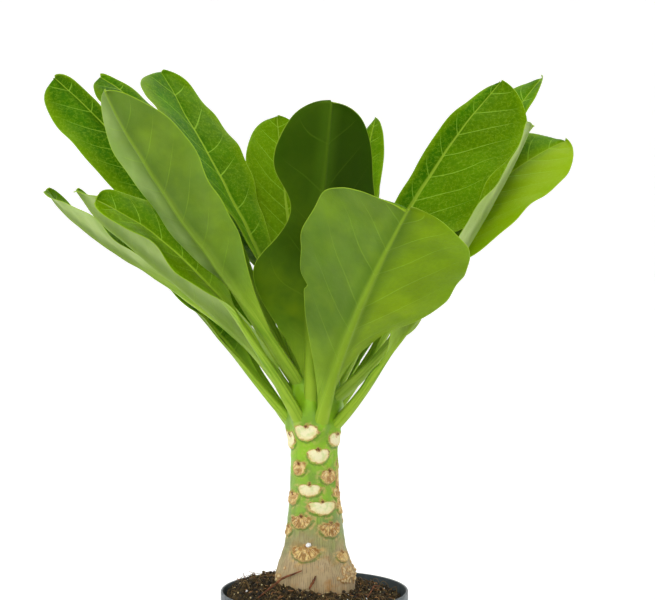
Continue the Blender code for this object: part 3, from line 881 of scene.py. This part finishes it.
def stem_surface(turn, z, look):
    """The stem's plain radius at each turn and height, its relief, and the values that its colours follow.

    The scars stand out of it, and each leaf's foot runs out in a swelling below it. Round the foot there are
    nubs of roots, each a soft mound with a cluster of small knobs, and upright fissures in the bark.
    """
    plain = trunk_profile(z)
    around = np.radians(turn) * plain
    relief, (edge, fresh, fibre, fan, lower), bud = scar_relief(turn, z, plain, look)
    crease_shade = np.zeros_like(z)
    for leaf in LEAVES:
        foot_turn, foot_height = leaf.root
        across = np.radians(turned_away(turn, foot_turn)) * plain
        rise = z - foot_height + 0.001
        swell = np.exp(-((across / FOOT_WIDTH) ** 2)) * np.exp(-((rise / np.where(rise > 0, *FOOT_REACH)) ** 2))
        relief = relief + look.leaf_foot * swell * rise_between(0.009, 0.014, plain)
        # crease marks a ring round each leaf foot's swelling, where painted shade is laid.
        crease_shade = np.maximum(crease_shade, 4 * swell * (1 - swell))
    nubs = np.zeros_like(z)
    draw = np.random.default_rng(11)
    for nub_turn, height, size in ROOT_NUBS:
        across = np.radians(turned_away(turn, nub_turn)) * plain
        relief = relief + 0.75 * NUB_RISE * np.exp(-(across**2 + (z - height) ** 2) / size**2)
        for _ in range(NUB_KNOBS):
            small, knob_turn = draw.uniform(*KNOB_RADII), nub_turn + draw.normal(0, 7)
            across = np.radians(turned_away(turn, knob_turn)) * plain
            knob = np.exp(-(((across**2 + (z - height - draw.normal(0, 0.003)) ** 2) / small**2) ** 1.5))
            relief = relief + 1.1 * small * knob * (1 - nubs)
            nubs = np.maximum(nubs, knob)
    woody = 1 - rise_between(*BARK_TOP, z + 0.008 * rough_noise(around / 0.010, z / 0.012, 5))
    fissures = look.fissure * woody * rough_noise(around / 0.0011, z / 0.011, 21, 2)
    swellings = SWELLING * rough_noise(around / 0.006, z / 0.004, 31)
    relief = relief + rise_between(0.9, 1.1, edge) * (1 - nubs) * (fissures + swellings)
    relief = relief + SWELLING * np.sin(3 * np.radians(turn) + z * 60)
    marks = {"scar": (edge, fresh, fibre), "rays": (fan, lower, bud), "bark": (woody, nubs, crease_shade)}
    return plain, relief, {label: np.stack(values, axis=1) for label, values in marks.items()}


def stem_mesh(look):
    """The stem: rings from the crown to the foot, pushed out by the relief, and drawn in to a point at each end."""
    sides, rings = look.sides, look.rings
    heights = np.linspace(TRUNK_TOP, TRUNK_FOOT, rings)
    turns = np.linspace(0, 360, sides, endpoint=False)
    z, turn = (a.ravel() for a in np.meshgrid(heights, turns, indexing="ij"))
    plain, relief, marks = stem_surface(turn, z, look)
    radius = plain + relief * rise_between(0.003, 0.010, plain)
    angle = np.radians(turn)
    points = np.stack([radius * np.cos(angle), radius * np.sin(angle), z], axis=1)
    return quad_mesh("stem", points, ring_faces(rings, sides), marks)


def stem_paint(look):
    """Green skin that turns to grey-tan bark at the foot, with cream, tan or fibrous scars and brown bud marks.

    The outlines of the scars, their rims with a painted highlight on the lower lip, the painted shadow lines under
    them and the scurf round them all follow the edge value, moved by fine noise, so that no two are alike.
    """
    paint = Paint("stem_skin")
    edge, fresh, fibre = paint.split("scar")
    fan, lower, bud = paint.split("rays")
    woody, nubs, crease_shade = paint.split("bark")
    spots = paint.places()
    x, y, height = paint.split(spots)
    cloud = paint.noise(spots, 90, 3)
    fine = paint.noise(spots, 900, 4, 0.65)
    coarse = paint.noise(spots, 330, 3)
    wander = height + (cloud - 0.5) * 0.03
    ragged = edge + (fine - 0.5) * 0.34

    blotch = paint.step(paint.noise(paint.places((1, 1, 0.4)), 120, 4), 0.42, 0.66, 0.0, 0.45)
    olive = paint.step(paint.noise(paint.places((1, 1, 0.5)), 170, 4, 0.6), 0.54, 0.66, 0.0, 0.55)
    green = paint.mix(paint.step(wander, 0.168, 0.205), look.mid, look.young)
    green = paint.coats(
        paint.mix(paint.step(wander, 0.138, 0.166), look.old, green),
        (blotch, look.young),
        (olive * paint.step(wander, 0.150, 0.215, 1.0, 0.25), look.olive),
        # Painted shade in the creases round the leaf feet.
        (crease_shade * paint.step(cloud, 0.35, 0.65, 0.2, 0.6), look.olive),
    )

    lines = paint.noise(paint.places((1, 1, 0.06)), 760, 3)
    angle = paint.math("ARCTAN2", x, y) * look.ribs + lines * 5
    ribs = paint.step(paint.math("SINE", angle), 0.0, 0.9) * paint.step(lines, 0.40, 0.60)
    algae = paint.step(paint.noise(paint.places((1, 1, 0.25)), 75, 2), 0.46, 0.60, 0.0, 0.6)
    bark = paint.coats(
        paint.mix(paint.noise(paint.places((1, 1, 0.3)), 160, 4), look.bark, look.bark_dark),
        (paint.step(paint.noise(spots, 70, 4, 0.6), 0.50, 0.66, 0.0, 0.7), look.rust),
        (algae * paint.step(height, 0.112, 0.140), look.old),
    )

    scurf = paint.step(ragged, 1.15, 1.75, 1.0, 0.0) * paint.step(coarse, 0.46, 0.60, 0.0, 0.8)
    # A painted shadow: a dark olive line just under the lower lip of each scar.
    lip_shadow = paint.step(ragged, 0.98, 1.06) * paint.step(ragged, 1.14, 1.30, 1.0, 0.0)
    skin = paint.coats(
        paint.mix(woody, green, bark),
        (ribs * paint.step(wander, 0.150, 0.174, 0.6, 0.0), look.crack),
        (paint.step(nubs, 0.02, 0.3, 0.0, 0.6), look.rust),
        (paint.step(nubs, 0.35, 0.85), look.nub),
        (scurf * paint.step(height, 0.150, 0.205, 1.0, 0.35), paint.mix(fine, look.scar_tan, look.scar_dry)),
        (lip_shadow * paint.step(lower, 0.1, 0.5, 0.0, 0.6), look.olive),
    )

    dry = paint.mix(paint.step(coarse, 0.38, 0.62), look.scar_dry, look.scar_tan)
    dry = paint.mix(paint.step(fine, 0.54, 0.66, 0.0, 0.7), dry, look.scar_fresh)
    wet = paint.mix(paint.step(paint.noise(spots, 260, 2), 0.46, 0.66, 0, 0.7), look.scar_fresh, look.scar_green)
    wet = paint.mix(paint.step(ragged, 0.50, 0.92, 0.0, 0.55), wet, look.scar_dry)
    strand = paint.node("CombineXYZ", {0: fan * 7.0, 1: edge, 2: height})
    strand = paint.step(paint.noise(strand, 1.6, 2), 0.44, 0.56)
    hollow = strand * (fibre * paint.step(ragged, 0.1, 0.4, 0.3, 0.8))
    cut = paint.mix(hollow, paint.mix(paint.step(fresh, 0.3, 0.8), dry, wet), look.scar_gap)
    rim = paint.step(ragged, 0.80, 0.93) * paint.step(ragged, 0.97, 1.08, 1.0, 0.0)
    rim_tone = paint.mix(paint.step(coarse, 0.50, 0.64), look.scar_rim, look.scar_gap)
    # A painted highlight: the rim turns to the pale dry-scar cream along the lower lip.
    rim_tone = paint.mix(paint.step(lower, 0.2, 0.7, 0.0, 0.5), rim_tone, look.scar_dry)
    hairy = bud + (fine - 0.5) * 4.0
    skin = paint.coats(
        skin,
        (paint.step(ragged, 0.86, 0.93, 1.0, 0.0), cut),
        (rim * paint.step(coarse, 0.36, 0.56, 0.25, 0.9), rim_tone),
        (paint.step(hairy, 0.9, 1.8, 0.7, 0.0), look.scar_rim),
        (paint.step(hairy, 0.35, 0.9, 0.95, 0.0), look.bud),
    )

    normal = paint.bump(lines * woody, 0.5, 0.0004)
    normal = paint.bump(fine, paint.step(ragged, 1.0, 1.4, 0.7, 0.2), 0.0005, normal)
    normal = paint.bump(hollow, 0.6, -0.0003, normal)
    return paint.finish(
        Base_Color=skin,
        Normal=normal,
        Roughness=paint.math("MAXIMUM", paint.step(woody, 0, 1, 0.40, 0.8), paint.step(ragged, 0.9, 1.1, 0.72, 0.0)),
        Specular_IOR_Level=0.35,
        Subsurface_Weight=0.15,
        Subsurface_Radius=(0.9, 1.0, 0.3),
        Subsurface_Scale=0.0015,
    )


# Potting mix


def soil_height(x, y):
    """The soil's surface: a dome round the stem, higher on the left, and lumpy all over."""
    dome = np.sqrt(np.clip(1 - (np.hypot(x, y) / SOIL_SPREAD) ** 2, 0, 1))
    heap = SOIL_MOUND * (1 - SOIL_LEAN * x / POT_RIM_RADIUS)
    lumps = np.sin(x * 410 + 1.7 * np.sin(y * 250)) * np.cos(y * 370 + 1.3 * np.sin(x * 290))
    return SOIL_LEVEL + heap * dome + SOIL_LUMP * lumps


def crumbly(x, y, look):
    """The soil's surface with its crumbs: two sizes of rough noise, sharpened upwards."""
    coarse, fine = (
        np.abs(rough_noise(x / size + 40, y / size + 40, seed, octaves)) for size, seed, octaves in CRUMB_NOISE
    )
    return soil_height(x, y) + look.crumb * (1.1 * coarse + 0.6 * fine - 0.5)


def soil_mesh(look):
    """The soil's body: a crumbly top, a side inside the pot's wall and a flat underside."""
    top = POT_INSIDE - SOIL_GAP
    base = POT_BASE_RADIUS - POT_WALL - 2 * SOIL_GAP
    floor = POT_WALL + SOIL_GAP
    radii = np.concatenate([np.linspace(0, SOIL_CORE, 5)[:-1], np.linspace(SOIL_CORE, top, look.soil_rings)])
    profile = [(radius, POT_HEIGHT) for radius in radii]
    profile += [(top, POT_SHOULDER - SOIL_DROP), (base, floor), (0, floor)]
    points = turned_points(profile, look.soil_sides)
    surface = points[:, 2] > POT_SHOULDER
    points[surface, 2] = crumbly(points[surface, 0], points[surface, 1], look)
    return quad_mesh("potting_soil", points, ring_faces(len(profile), look.soil_sides), {})


def scattered(count, seed, inner, outer):
    """Random places on the soil between two radii, evenly spread over the ground, and the draws that follow."""
    draw = np.random.default_rng(seed)
    turn = draw.uniform(0, 2 * np.pi, count)
    radius = np.sqrt(draw.uniform(inner**2, outer**2, count))
    return radius * np.cos(turn), radius * np.sin(turn), draw


def grain_mesh(name, count, seed, between, look):
    """Loose grains on the soil: each as wide as a draw between two sizes, flatter than it is wide, half sunk."""
    smallest, largest = between
    x, y, draw = scattered(count, seed, GRAINS_FROM, POT_INSIDE - largest)
    size = smallest + (largest - smallest) * draw.uniform(0, 1, count) ** 2
    sizes = size[:, None] * draw.uniform(0.6, 1.0, (count, 3)) / 2
    places = np.stack([x, y, crumbly(x, y, look) + size * 0.15], axis=1)
    return chip_mesh(name, places, sizes, seed + 1, 0.6, draw.uniform(0, 1, count))


def bark_mesh(count, seed, look):
    """Bark chips: long, narrow and thin, lying nearly flat on the soil."""
    x, y, draw = scattered(count, seed, *CHIPS_BETWEEN)
    half = draw.uniform(*CHIP_LENGTHS, count) / 2
    sizes = np.stack([half, draw.uniform(*CHIP_HALF_WIDTHS, count), draw.uniform(*CHIP_HALF_DEPTHS, count)], axis=1)
    places = np.stack([x, y, crumbly(x, y, look) + CHIP_LIFT], axis=1)
    return chip_mesh("bark_chips", places, sizes, seed + 1, 0.25, draw.uniform(0, 1, count))


def fibre_mesh(count, seed):
    """Fine rootlets: thin tubes that leave the soil, arch over by half a sine and come back down to it."""
    x, y, draw = scattered(count, seed, *FIBRES_BETWEEN)
    tubes = []
    t = np.linspace(0, 1, 9)
    for i in range(count):
        turn, length = draw.uniform(0, 2 * np.pi), draw.uniform(*FIBRE_LENGTHS)
        bend = draw.uniform(-FIBRE_BEND, FIBRE_BEND)
        px = x[i] + length * t * np.cos(turn + bend * t)
        py = y[i] + length * t * np.sin(turn + bend * t)
        inside = np.minimum(1, FIBRES_WITHIN / np.hypot(px, py))
        px, py = px * inside, py * inside
        arch = draw.uniform(*FIBRE_ARCHES) * np.sin(np.pi * t)
        path = np.stack([px, py, soil_height(px, py) + arch + FIBRE_LIFT], axis=1)
        tubes.append((path, np.full(len(t), draw.uniform(*FIBRE_RADII))))
    return tube_mesh("rootlets", tubes, 5)


def twig_mesh():
    """The twigs and the splinter: crooked tubes that taper to both ends, the largest leaning on the stem's foot."""
    tubes = []
    for seed, (line, thick) in enumerate(TWIGS):
        share = np.linspace(0, len(line) - 1, 25)
        path = np.stack([np.interp(share, range(len(line)), axis) for axis in zip(*line)], axis=1)
        crooked = [lattice_noise(share * 4, share * 0 + axis, 200 + seed) for axis in range(3)]
        path += TWIG_WANDER * np.stack(crooked, axis=1)
        tubes.append((path, thick * (0.35 + 0.65 * np.sin(np.pi * np.linspace(0.03, 0.97, len(path))) ** 0.6)))

    def shade(points):
        return 0.4 + 0.4 * lattice_noise(points[:, 0] / TWIG_GRAIN, points[:, 2] / TWIG_GRAIN, 210)

    return tube_mesh("twigs", tubes, 8, shade)


def soil_paint(look):
    """Dark peat: near black, with brown patches and lighter brown specks laid by noise, and a fine rough grain."""
    paint = Paint("peat")
    spots = paint.places()
    ground = paint.coats(
        look.peat,
        (paint.step(paint.noise(spots, 420, 4, 0.7), 0.38, 0.68), look.peat_dry),
        (paint.step(paint.noise(spots, 1500, 2), 0.66, 0.74, 0.0, 0.7), look.humus),
    )
    normal = paint.bump(paint.noise(spots, 900, 4, 0.7), 0.8, 0.0008)
    return paint.finish(Base_Color=ground, Roughness=0.92, Normal=normal, Specular_IOR_Level=0.25)


def bits_paint(name, dark, light):
    """Loose bits: each between a dark and a light colour by its own shade, with a mottled face."""
    paint = Paint(name)
    spots = paint.places()
    mottle = paint.attribute("shade") + paint.noise(spots, 1100, 3) * 0.5
    tint = paint.mix(paint.step(mottle, 0.3, 1.2), dark, light)
    return paint.finish(Base_Color=tint, Roughness=0.85, Normal=paint.bump(paint.noise(spots, 2200, 3), 0.5, 0.0003))


# Pot


def arc_points(centre, radius, start, end, count):
    """Points of radius and height on an arc about a centre, from one angle to another."""
    angle = np.radians(np.linspace(start, end, count))
    return [(centre[0] + radius * np.cos(a), centre[1] + radius * np.sin(a)) for a in angle]


def pot_profile():
    """The pot's outline: up the inside from the centre of the floor, over the rolled rim and down the outside."""
    rim = POT_RIM_RADIUS
    base = POT_BASE_RADIUS
    inner_base = base - POT_WALL - POT_CORNER
    lip = POT_WALL / 2
    below_lip = POT_HEIGHT - LIP_DEPTH
    return [
        (0, POT_WALL),
        (inner_base, POT_WALL),
        *arc_points((inner_base, POT_WALL + POT_CORNER), POT_CORNER, -80, 0, 5),
        (POT_INSIDE, POT_SHOULDER),
        (rim - POT_WALL, below_lip),
        *arc_points((rim - lip, POT_HEIGHT - lip), lip, 180, 0, 9),
        (rim, below_lip),
        *arc_points((rim - RIM_CORNER, POT_SHOULDER + RIM_CORNER), RIM_CORNER, 0, -90, 5),
        (rim - POT_RIM_STEP + RIM_SLOPE, POT_SHOULDER),
        (rim - POT_RIM_STEP, POT_SHOULDER - RIM_SLOPE),
        (base + WALL_FOOT[0], WALL_FOOT[1]),
        *arc_points((base - POT_CORNER, POT_CORNER), POT_CORNER, 0, -90, 6),
        (0, 0),
    ]


def pot_mesh(look):
    """The moulded pot: its outline turned round the axis, with the drain holes cut through its floor."""
    profile = pot_profile()
    mesh = quad_mesh("nursery_pot", turned_points(profile, look.sides), ring_faces(len(profile), look.sides), {})
    pot = bpy.data.objects.new("nursery_pot_blank", mesh)
    bpy.context.scene.collection.objects.link(pot)
    cutters = []
    for i in range(DRAIN_HOLES):
        turn = 2 * math.pi * i / DRAIN_HOLES
        bpy.ops.mesh.primitive_cylinder_add(
            vertices=32,
            radius=DRAIN_RADIUS,
            depth=0.02,
            location=(DRAIN_CIRCLE * math.cos(turn), DRAIN_CIRCLE * math.sin(turn), 0),
        )
        cutters.append(bpy.context.object)
        cut = pot.modifiers.new(f"Drain {i + 1}", "BOOLEAN")
        cut.operation = "DIFFERENCE"
        cut.object = cutters[-1]
    bpy.context.view_layer.update()
    done = bpy.data.meshes.new_from_object(pot.evaluated_get(bpy.context.evaluated_depsgraph_get()))
    for spare in [pot, *cutters]:
        bpy.data.objects.remove(spare)
    done.name = "nursery_pot"
    done.shade_smooth()
    done.set_sharp_from_angle(angle=math.radians(40))
    return done


def pot_paint(look):
    """Slate-grey moulded plastic: a fine matt grain, faint streaks down the wall, and specks of dust."""
    paint = Paint("moulded_plastic")
    spots = paint.places()
    plastic = paint.coats(
        look.plastic,
        (paint.step(paint.noise(paint.places((1, 1, 0.12)), 220, 3), 0.4, 0.75, 0.0, 0.5), look.worn),
        (paint.step(paint.noise(spots, 500, 4), 0.60, 0.75, 0.0, 0.35), look.dust),
    )
    rough = paint.step(paint.noise(spots, 300, 3), 0.3, 0.7, 0.34, 0.5)
    normal = paint.bump(paint.noise(spots, 1600, 2), 0.25, 0.0002)
    return paint.finish(Base_Color=plastic, Roughness=rough, Normal=normal, Specular_IOR_Level=0.5)


# Settings that a user would change


def colour(name, description, code):
    return bpy.props.FloatVectorProperty(
        name=name, description=description, subtype="COLOR", size=3, min=0, max=1, default=tone(code)
    )


def length(name, description, default):
    return bpy.props.FloatProperty(
        name=name, description=description, default=default, min=0, unit="LENGTH", precision=5
    )


def number(name, description, default):
    return bpy.props.FloatProperty(name=name, description=description, default=default, min=0)


def count(name, description, default):
    return bpy.props.IntProperty(name=name, description=description, default=default, min=3)


class PALM_PG_leaves(bpy.types.PropertyGroup):
    """Sizes and colours of the leaves."""

    thickness: length("Blade thickness", "Thickness of the blade between its veins", 0.0006)
    petiole: length("Petiole thickness", "Thickness of the petiole at its foot", 0.0042)
    clasp: number("Clasp", "How much wider the petiole is where it clasps the stem", 0.55)
    ruffle: length("Ruffle", "Height of the short waves along the margin", 0.0007)
    ruffle_length: length("Ruffle length", "Length of one short wave", 0.031)
    crumple: length("Crumple", "Height of the blade's slow hollows and swellings", 0.0011)
    puff: length("Puff", "How far the blade rises between its side veins", 0.0005)
    groove: length("Groove", "Depth of the groove along the midrib", 0.00025)
    vein_spacing: length("Vein spacing", "Distance between side veins on a leaf 200 mm long", 0.0145)
    net_scale: number("Net", "How many cells of the vein net fit in a metre", 420)
    rows: count("Rows", "Faces along a leaf", 116)
    columns: count("Columns", "Faces across a leaf", 40)
    glow: number("Glow", "How much light passes into and through the blade", 0.35)
    gloss: number("Upper roughness", "Roughness of the upper face", 0.34)
    deep: colour("Deep green", "Darkest green of the upper face", 0x336502)
    fresh: colour("Fresh green", "Lighter green of the upper face", 0x437A04)
    sunlit: colour("Yellow green", "Green of sunlit margins and bright leaves", 0x95B304)
    shaded: colour("Shaded green", "Dark olive of the most shaded leaves", 0x294302)
    # Deep underside also lays the painted shade blotches and the painted shadow beside the midrib.
    under_deep: colour("Deep underside", "Darkest green of the underside", 0x4A6A10)
    under_fresh: colour("Fresh underside", "Lighter green of the underside", 0x61841C)
    # Wax is partly the underside's own pale bloom and partly a painted sheen.
    wax_and_sheen: colour("Wax", "Pale bloom of the underside", 0xB8CA86)
    vein: colour("Vein", "Side veins and their net", 0xA3CC3E)
    rib: colour("Midrib", "Midrib and petiole", 0x9CBC34)
    margin: colour("Margin", "Thin edge of the blade", 0xA3C034)


class PALM_PG_stem(bpy.types.PropertyGroup):
    """Sizes and colours of the stem."""

    sides: count("Sides", "Faces round the stem", 232)
    rings: count("Rings", "Rings of points up the stem", 420)
    scar_sink: length("Scar depth", "How far a scar's face is sunk inside its rim", 0.00035)
    leaf_foot: length("Leaf foot", "Swelling below each petiole", 0.0040)
    fissure: length("Fissures", "Depth of the upright fissures in the bark", 0.00022)
    ribs: number("Ribs", "How many fine upright lines stand round the bark", 116.0)
    young: colour("Young skin", "Skin of the crown", 0x8DBE12)
    mid: colour("Green skin", "Skin between the scars", 0x83AB34)
    old: colour("Old skin", "Skin above the bark", 0x84935A)
    # Olive also lays the painted shade round the leaf feet and the painted shadow under the scars.
    olive: colour("Olive patches", "Darker patches of the green skin", 0x587A24)
    bark: colour("Bark", "Bark of the foot", 0xCBB58E)
    bark_dark: colour("Dark bark", "Darker patches of the bark", 0xA28C64)
    crack: colour("Crack", "Fissures of the bark", 0x6A5A40)
    rust: colour("Rust", "Orange-brown patches of the bark", 0xB07C3A)
    scar_fresh: colour("Fresh scar", "Face of a fresh scar", 0xF0EAC0)
    scar_green: colour("Wet scar", "Greenish parts of a fresh scar", 0xC9D68C)
    scar_dry: colour("Dry scar", "Face of a dry scar", 0xE8CC88)
    scar_tan: colour("Tan scar", "Darker parts of a dry scar", 0xB88A4C)
    scar_gap: colour("Scar fibres", "Gaps between the fibres of a dry scar", 0x8A5F2C)
    scar_rim: colour("Scar rim", "Corky rim of a scar", 0xC09452)
    bud: colour("Bud mark", "Dried bud above a scar", 0x63280E)
    nub: colour("Root nub", "Root nubs at the foot", 0xD8C090)


class PALM_PG_soil(bpy.types.PropertyGroup):
    """Sizes and colours of the potting mix."""

    soil_sides: count("Sides", "Faces round the soil", 300)
    soil_rings: count("Rings", "Rings of points across the soil", 100)
    crumb: length("Crumb", "Height of the soil's crumbs", 0.0016)
    crumbs: count("Loose crumbs", "Number of loose crumbs of peat", 1500)
    grains: count("Grains", "Number of cream and yellow grains", 420)
    perlite: count("Perlite", "Number of white grains", 18)
    chips: count("Bark chips", "Number of bark chips", 150)
    rootlets: count("Rootlets", "Number of fine rootlets", 90)
    peat: colour("Peat", "Peat in the hollows", 0x1E180E)
    peat_dry: colour("Dry peat", "Peat on the crumbs", 0x574527)
    humus: colour("Humus", "Brown specks in the peat", 0xA0844C)
    chip_dark: colour("Dark bark chip", "Darker bark chips", 0x4A2A16)
    chip_light: colour("Light bark chip", "Lighter bark chips", 0xB07C48)
    grain_dark: colour("Tan grain", "Darker grains", 0xB08C4C)
    grain_light: colour("Cream grain", "Lighter grains", 0xEBD9A0)
    twig: colour("Twig", "Reddish-brown twig", 0x9A5A34)


class PALM_PG_pot(bpy.types.PropertyGroup):
    """Sizes and colours of the pot."""

    sides: count("Sides", "Faces round the pot", 192)
    plastic: colour("Plastic", "Main colour of the plastic", 0x3C474D)
    worn: colour("Worn plastic", "Scuffed and paler plastic", 0x55626A)
    dust: colour("Dust", "Dried soil on the plastic", 0x5A4A3A)


class PALM_PG_stage(bpy.types.PropertyGroup):
    """The studio: its floor, its lights and its camera."""

    radius: length("Studio radius", "How far the pale walls stand from the plant", 3.2)
    height: length("Studio height", "Height of the pale walls", 3.4)
    bend: length("Bend", "Radius of the curve from the floor to the walls", 1.6)
    paper: colour("Floor colour", "Colour of the floor and the walls", 0xE8E8E6)
    lit_far: number("Far backlight", "How much the walls behind the plant shine by themselves", 0.45)
    lit_near: number("Near backlight", "How much the walls behind the camera shine by themselves", 0.08)
    sky: number("Sky", "Strength of the light that comes from all round", 0.35)
    top_light: number("Top light", "Power of the softbox above, in watts", 7.0)
    left_light: number("Left light", "Power of the softbox on the left, in watts", 4.0)
    right_light: number("Right light", "Power of the softbox on the right, in watts", 2.5)
    front_light: number("Front light", "Power of the softbox by the camera, in watts", 6.0)
    low_light: number("Low light", "Power of the softbox low by the camera, in watts", 1.6)
    camera_side: length("Camera side", "How far right of the plant's axis the camera stands", 0.00835)
    camera_away: length("Camera distance", "How far in front of the plant's axis the camera stands", 0.876)
    camera_height: length("Camera height", "Height of the camera above the floor", 0.2915)
    lens: number("Lens", "Focal length in millimetres on a sensor 36 mm wide", 75.0)


# Operators


class PALM_OT_leaves(bpy.types.Operator):
    """Make each leaf, from its petiole's foot to its waved and veined blade"""

    bl_idname = "palm.leaves"
    bl_label = "Make leaves"

    def execute(self, context):
        look = context.scene.palm_leaves
        skin = leaf_paint(look)
        for i, leaf in enumerate(LEAVES, start=1):
            add_piece(f"leaf_blade_{i:02d}", leaf_mesh(leaf, i, look), skin, [f"leaf_{i:02d}"])
        return {"FINISHED"}


class PALM_OT_stem(bpy.types.Operator):
    """Make the stem with its leaf scars, bud marks, fissures and root nubs"""

    bl_idname = "palm.stem"
    bl_label = "Make stem"

    def execute(self, context):
        look = context.scene.palm_stem
        add_piece("stem", stem_mesh(look), stem_paint(look), ["trunk"])
        return {"FINISHED"}


class PALM_OT_soil(bpy.types.Operator):
    """Make the soil and the loose bits of the potting mix"""

    bl_idname = "palm.soil"
    bl_label = "Make potting mix"

    def execute(self, context):
        look = context.scene.palm_soil
        add_piece("potting_soil", soil_mesh(look), soil_paint(look), ["soil"])
        grains = (
            ("peat_crumbs", look.crumbs, 71, CRUMB_SIZES, look.peat, look.peat_dry),
            ("cream_grains", look.grains, 81, GRAIN_SIZES, look.grain_dark, look.grain_light),
            ("perlite", look.perlite, 91, PERLITE_SIZES, tone(0xE4E2DA), tone(0xFFFFFF)),
        )
        for name, amount, seed, between, dark, light in grains:
            mesh = grain_mesh(name, amount, seed, between, look)
            add_piece(name, mesh, bits_paint(name, dark, light))
        others = (
            ("bark_chips", bark_mesh(look.chips, 101, look), look.chip_light),
            ("rootlets", fibre_mesh(look.rootlets, 111), look.humus),
            ("twigs", twig_mesh(), look.twig),
        )
        for name, mesh, light in others:
            add_piece(name, mesh, bits_paint(name, look.chip_dark, light))
        crumb = chip_mesh("stem_crumb", np.array([CRUMB]), np.array([CRUMB_HALF]), 121, 0.3, [0.9])
        add_piece("stem_crumb", crumb, bpy.data.materials["perlite"])
        return {"FINISHED"}


class PALM_OT_pot(bpy.types.Operator):
    """Make the moulded nursery pot with its rolled rim and drain holes"""

    bl_idname = "palm.pot"
    bl_label = "Make pot"

    def execute(self, context):
        look = context.scene.palm_pot
        add_piece("nursery_pot", pot_mesh(look), pot_paint(look), ["pot"])
        return {"FINISHED"}


def softbox(name, power, size, place, target):
    """A square area light that faces a point."""
    light = bpy.data.lights.new(name, "AREA")
    light.energy = power
    light.size = size
    made = bpy.data.objects.new(name, light)
    made.location = place
    x, y, z = np.array(target, float) - np.array(place, float)
    made.rotation_euler = (math.atan2(math.hypot(x, y), -z), 0, math.atan2(-x, y))
    bpy.context.scene.collection.objects.link(made)


class PALM_OT_stage(bpy.types.Operator):
    """Make the pale floor with its curved walls, the soft lights and the camera"""

    bl_idname = "palm.stage"
    bl_label = "Make studio"

    def execute(self, context):
        look = context.scene.palm_stage
        bend = (look.radius - look.bend, look.bend)
        profile = [(0, 0), (bend[0] / 2, 0), *arc_points(bend, look.bend, -90, 0, 25), (look.radius, look.height)]
        points, faces = turned_points(profile, STUDIO_SIDES), ring_faces(len(profile), STUDIO_SIDES)
        bowl = quad_mesh("studio_floor", points, faces, {})
        bowl.flip_normals()
        paper = Paint("studio_paper")
        spots = paper.places()
        tint = paper.mix(paper.step(paper.noise(spots, 3, 2), 0.3, 0.7, 0.0, 0.04), look.paper, (0.8, 0.8, 0.8))
        glow = paper.step(paper.split(spots)[1], -1.0, 1.2, look.lit_near, look.lit_far)
        bowl.materials.append(
            paper.finish(
                Base_Color=tint, Roughness=0.9, Specular_IOR_Level=0.2, Emission_Color=(1, 1, 1), Emission_Strength=glow
            )
        )
        floor = bpy.data.objects.new("studio_floor", bowl)
        context.scene.collection.objects.link(floor)
        world = bpy.data.worlds.new("studio_sky")
        world.use_nodes = True
        sky = world.node_tree.nodes["Background"]
        sky.inputs["Color"].default_value = (1, 1, 1, 1)
        sky.inputs["Strength"].default_value = look.sky
        context.scene.world = world
        for name, size, place, target in SOFTBOXES:
            softbox(f"{name}_softbox", getattr(look, f"{name}_light"), size, place, target)
        camera = bpy.data.cameras.new("photo_camera")
        camera.lens = look.lens
        camera.sensor_width = SENSOR_WIDTH
        camera.clip_start = 0.01
        holder = bpy.data.objects.new("photo_camera", camera)
        holder.location = (look.camera_side, -look.camera_away, look.camera_height)
        holder.rotation_euler = (math.radians(90), 0, 0)
        context.scene.collection.objects.link(holder)
        context.scene.camera = holder
        context.scene.view_settings.view_transform = "Standard"
        return {"FINISHED"}


STEPS = (
    (PALM_PG_leaves, PALM_OT_leaves, "palm_leaves"),
    (PALM_PG_stem, PALM_OT_stem, "palm_stem"),
    (PALM_PG_soil, PALM_OT_soil, "palm_soil"),
    (PALM_PG_pot, PALM_OT_pot, "palm_pot"),
    (PALM_PG_stage, PALM_OT_stage, "palm_stage"),
)


class PALM_PT_panel(bpy.types.Panel):
    """Lists the settings and the button of each step."""

    bl_label = "Potted hawaiian palm"
    bl_idname = "PALM_PT_panel"
    bl_space_type = "VIEW_3D"
    bl_region_type = "UI"
    bl_category = "Palm"

    def draw(self, context):
        for settings, operator, place in STEPS:
            box = self.layout.box()
            box.operator(operator.bl_idname)
            for key in settings.__annotations__:
                box.prop(getattr(context.scene, place), key)


def register():
    for settings, operator, place in STEPS:
        bpy.utils.register_class(settings)
        bpy.utils.register_class(operator)
        setattr(bpy.types.Scene, place, bpy.props.PointerProperty(type=settings))
    bpy.utils.register_class(PALM_PT_panel)


def unregister():
    bpy.utils.unregister_class(PALM_PT_panel)
    for settings, operator, place in reversed(STEPS):
        delattr(bpy.types.Scene, place)
        bpy.utils.unregister_class(operator)
        bpy.utils.unregister_class(settings)


def main():
    register()
    bpy.ops.palm.stage()
    bpy.ops.palm.pot()
    bpy.ops.palm.soil()
    bpy.ops.palm.stem()
    bpy.ops.palm.leaves()


if __name__ == "__main__":
    main()
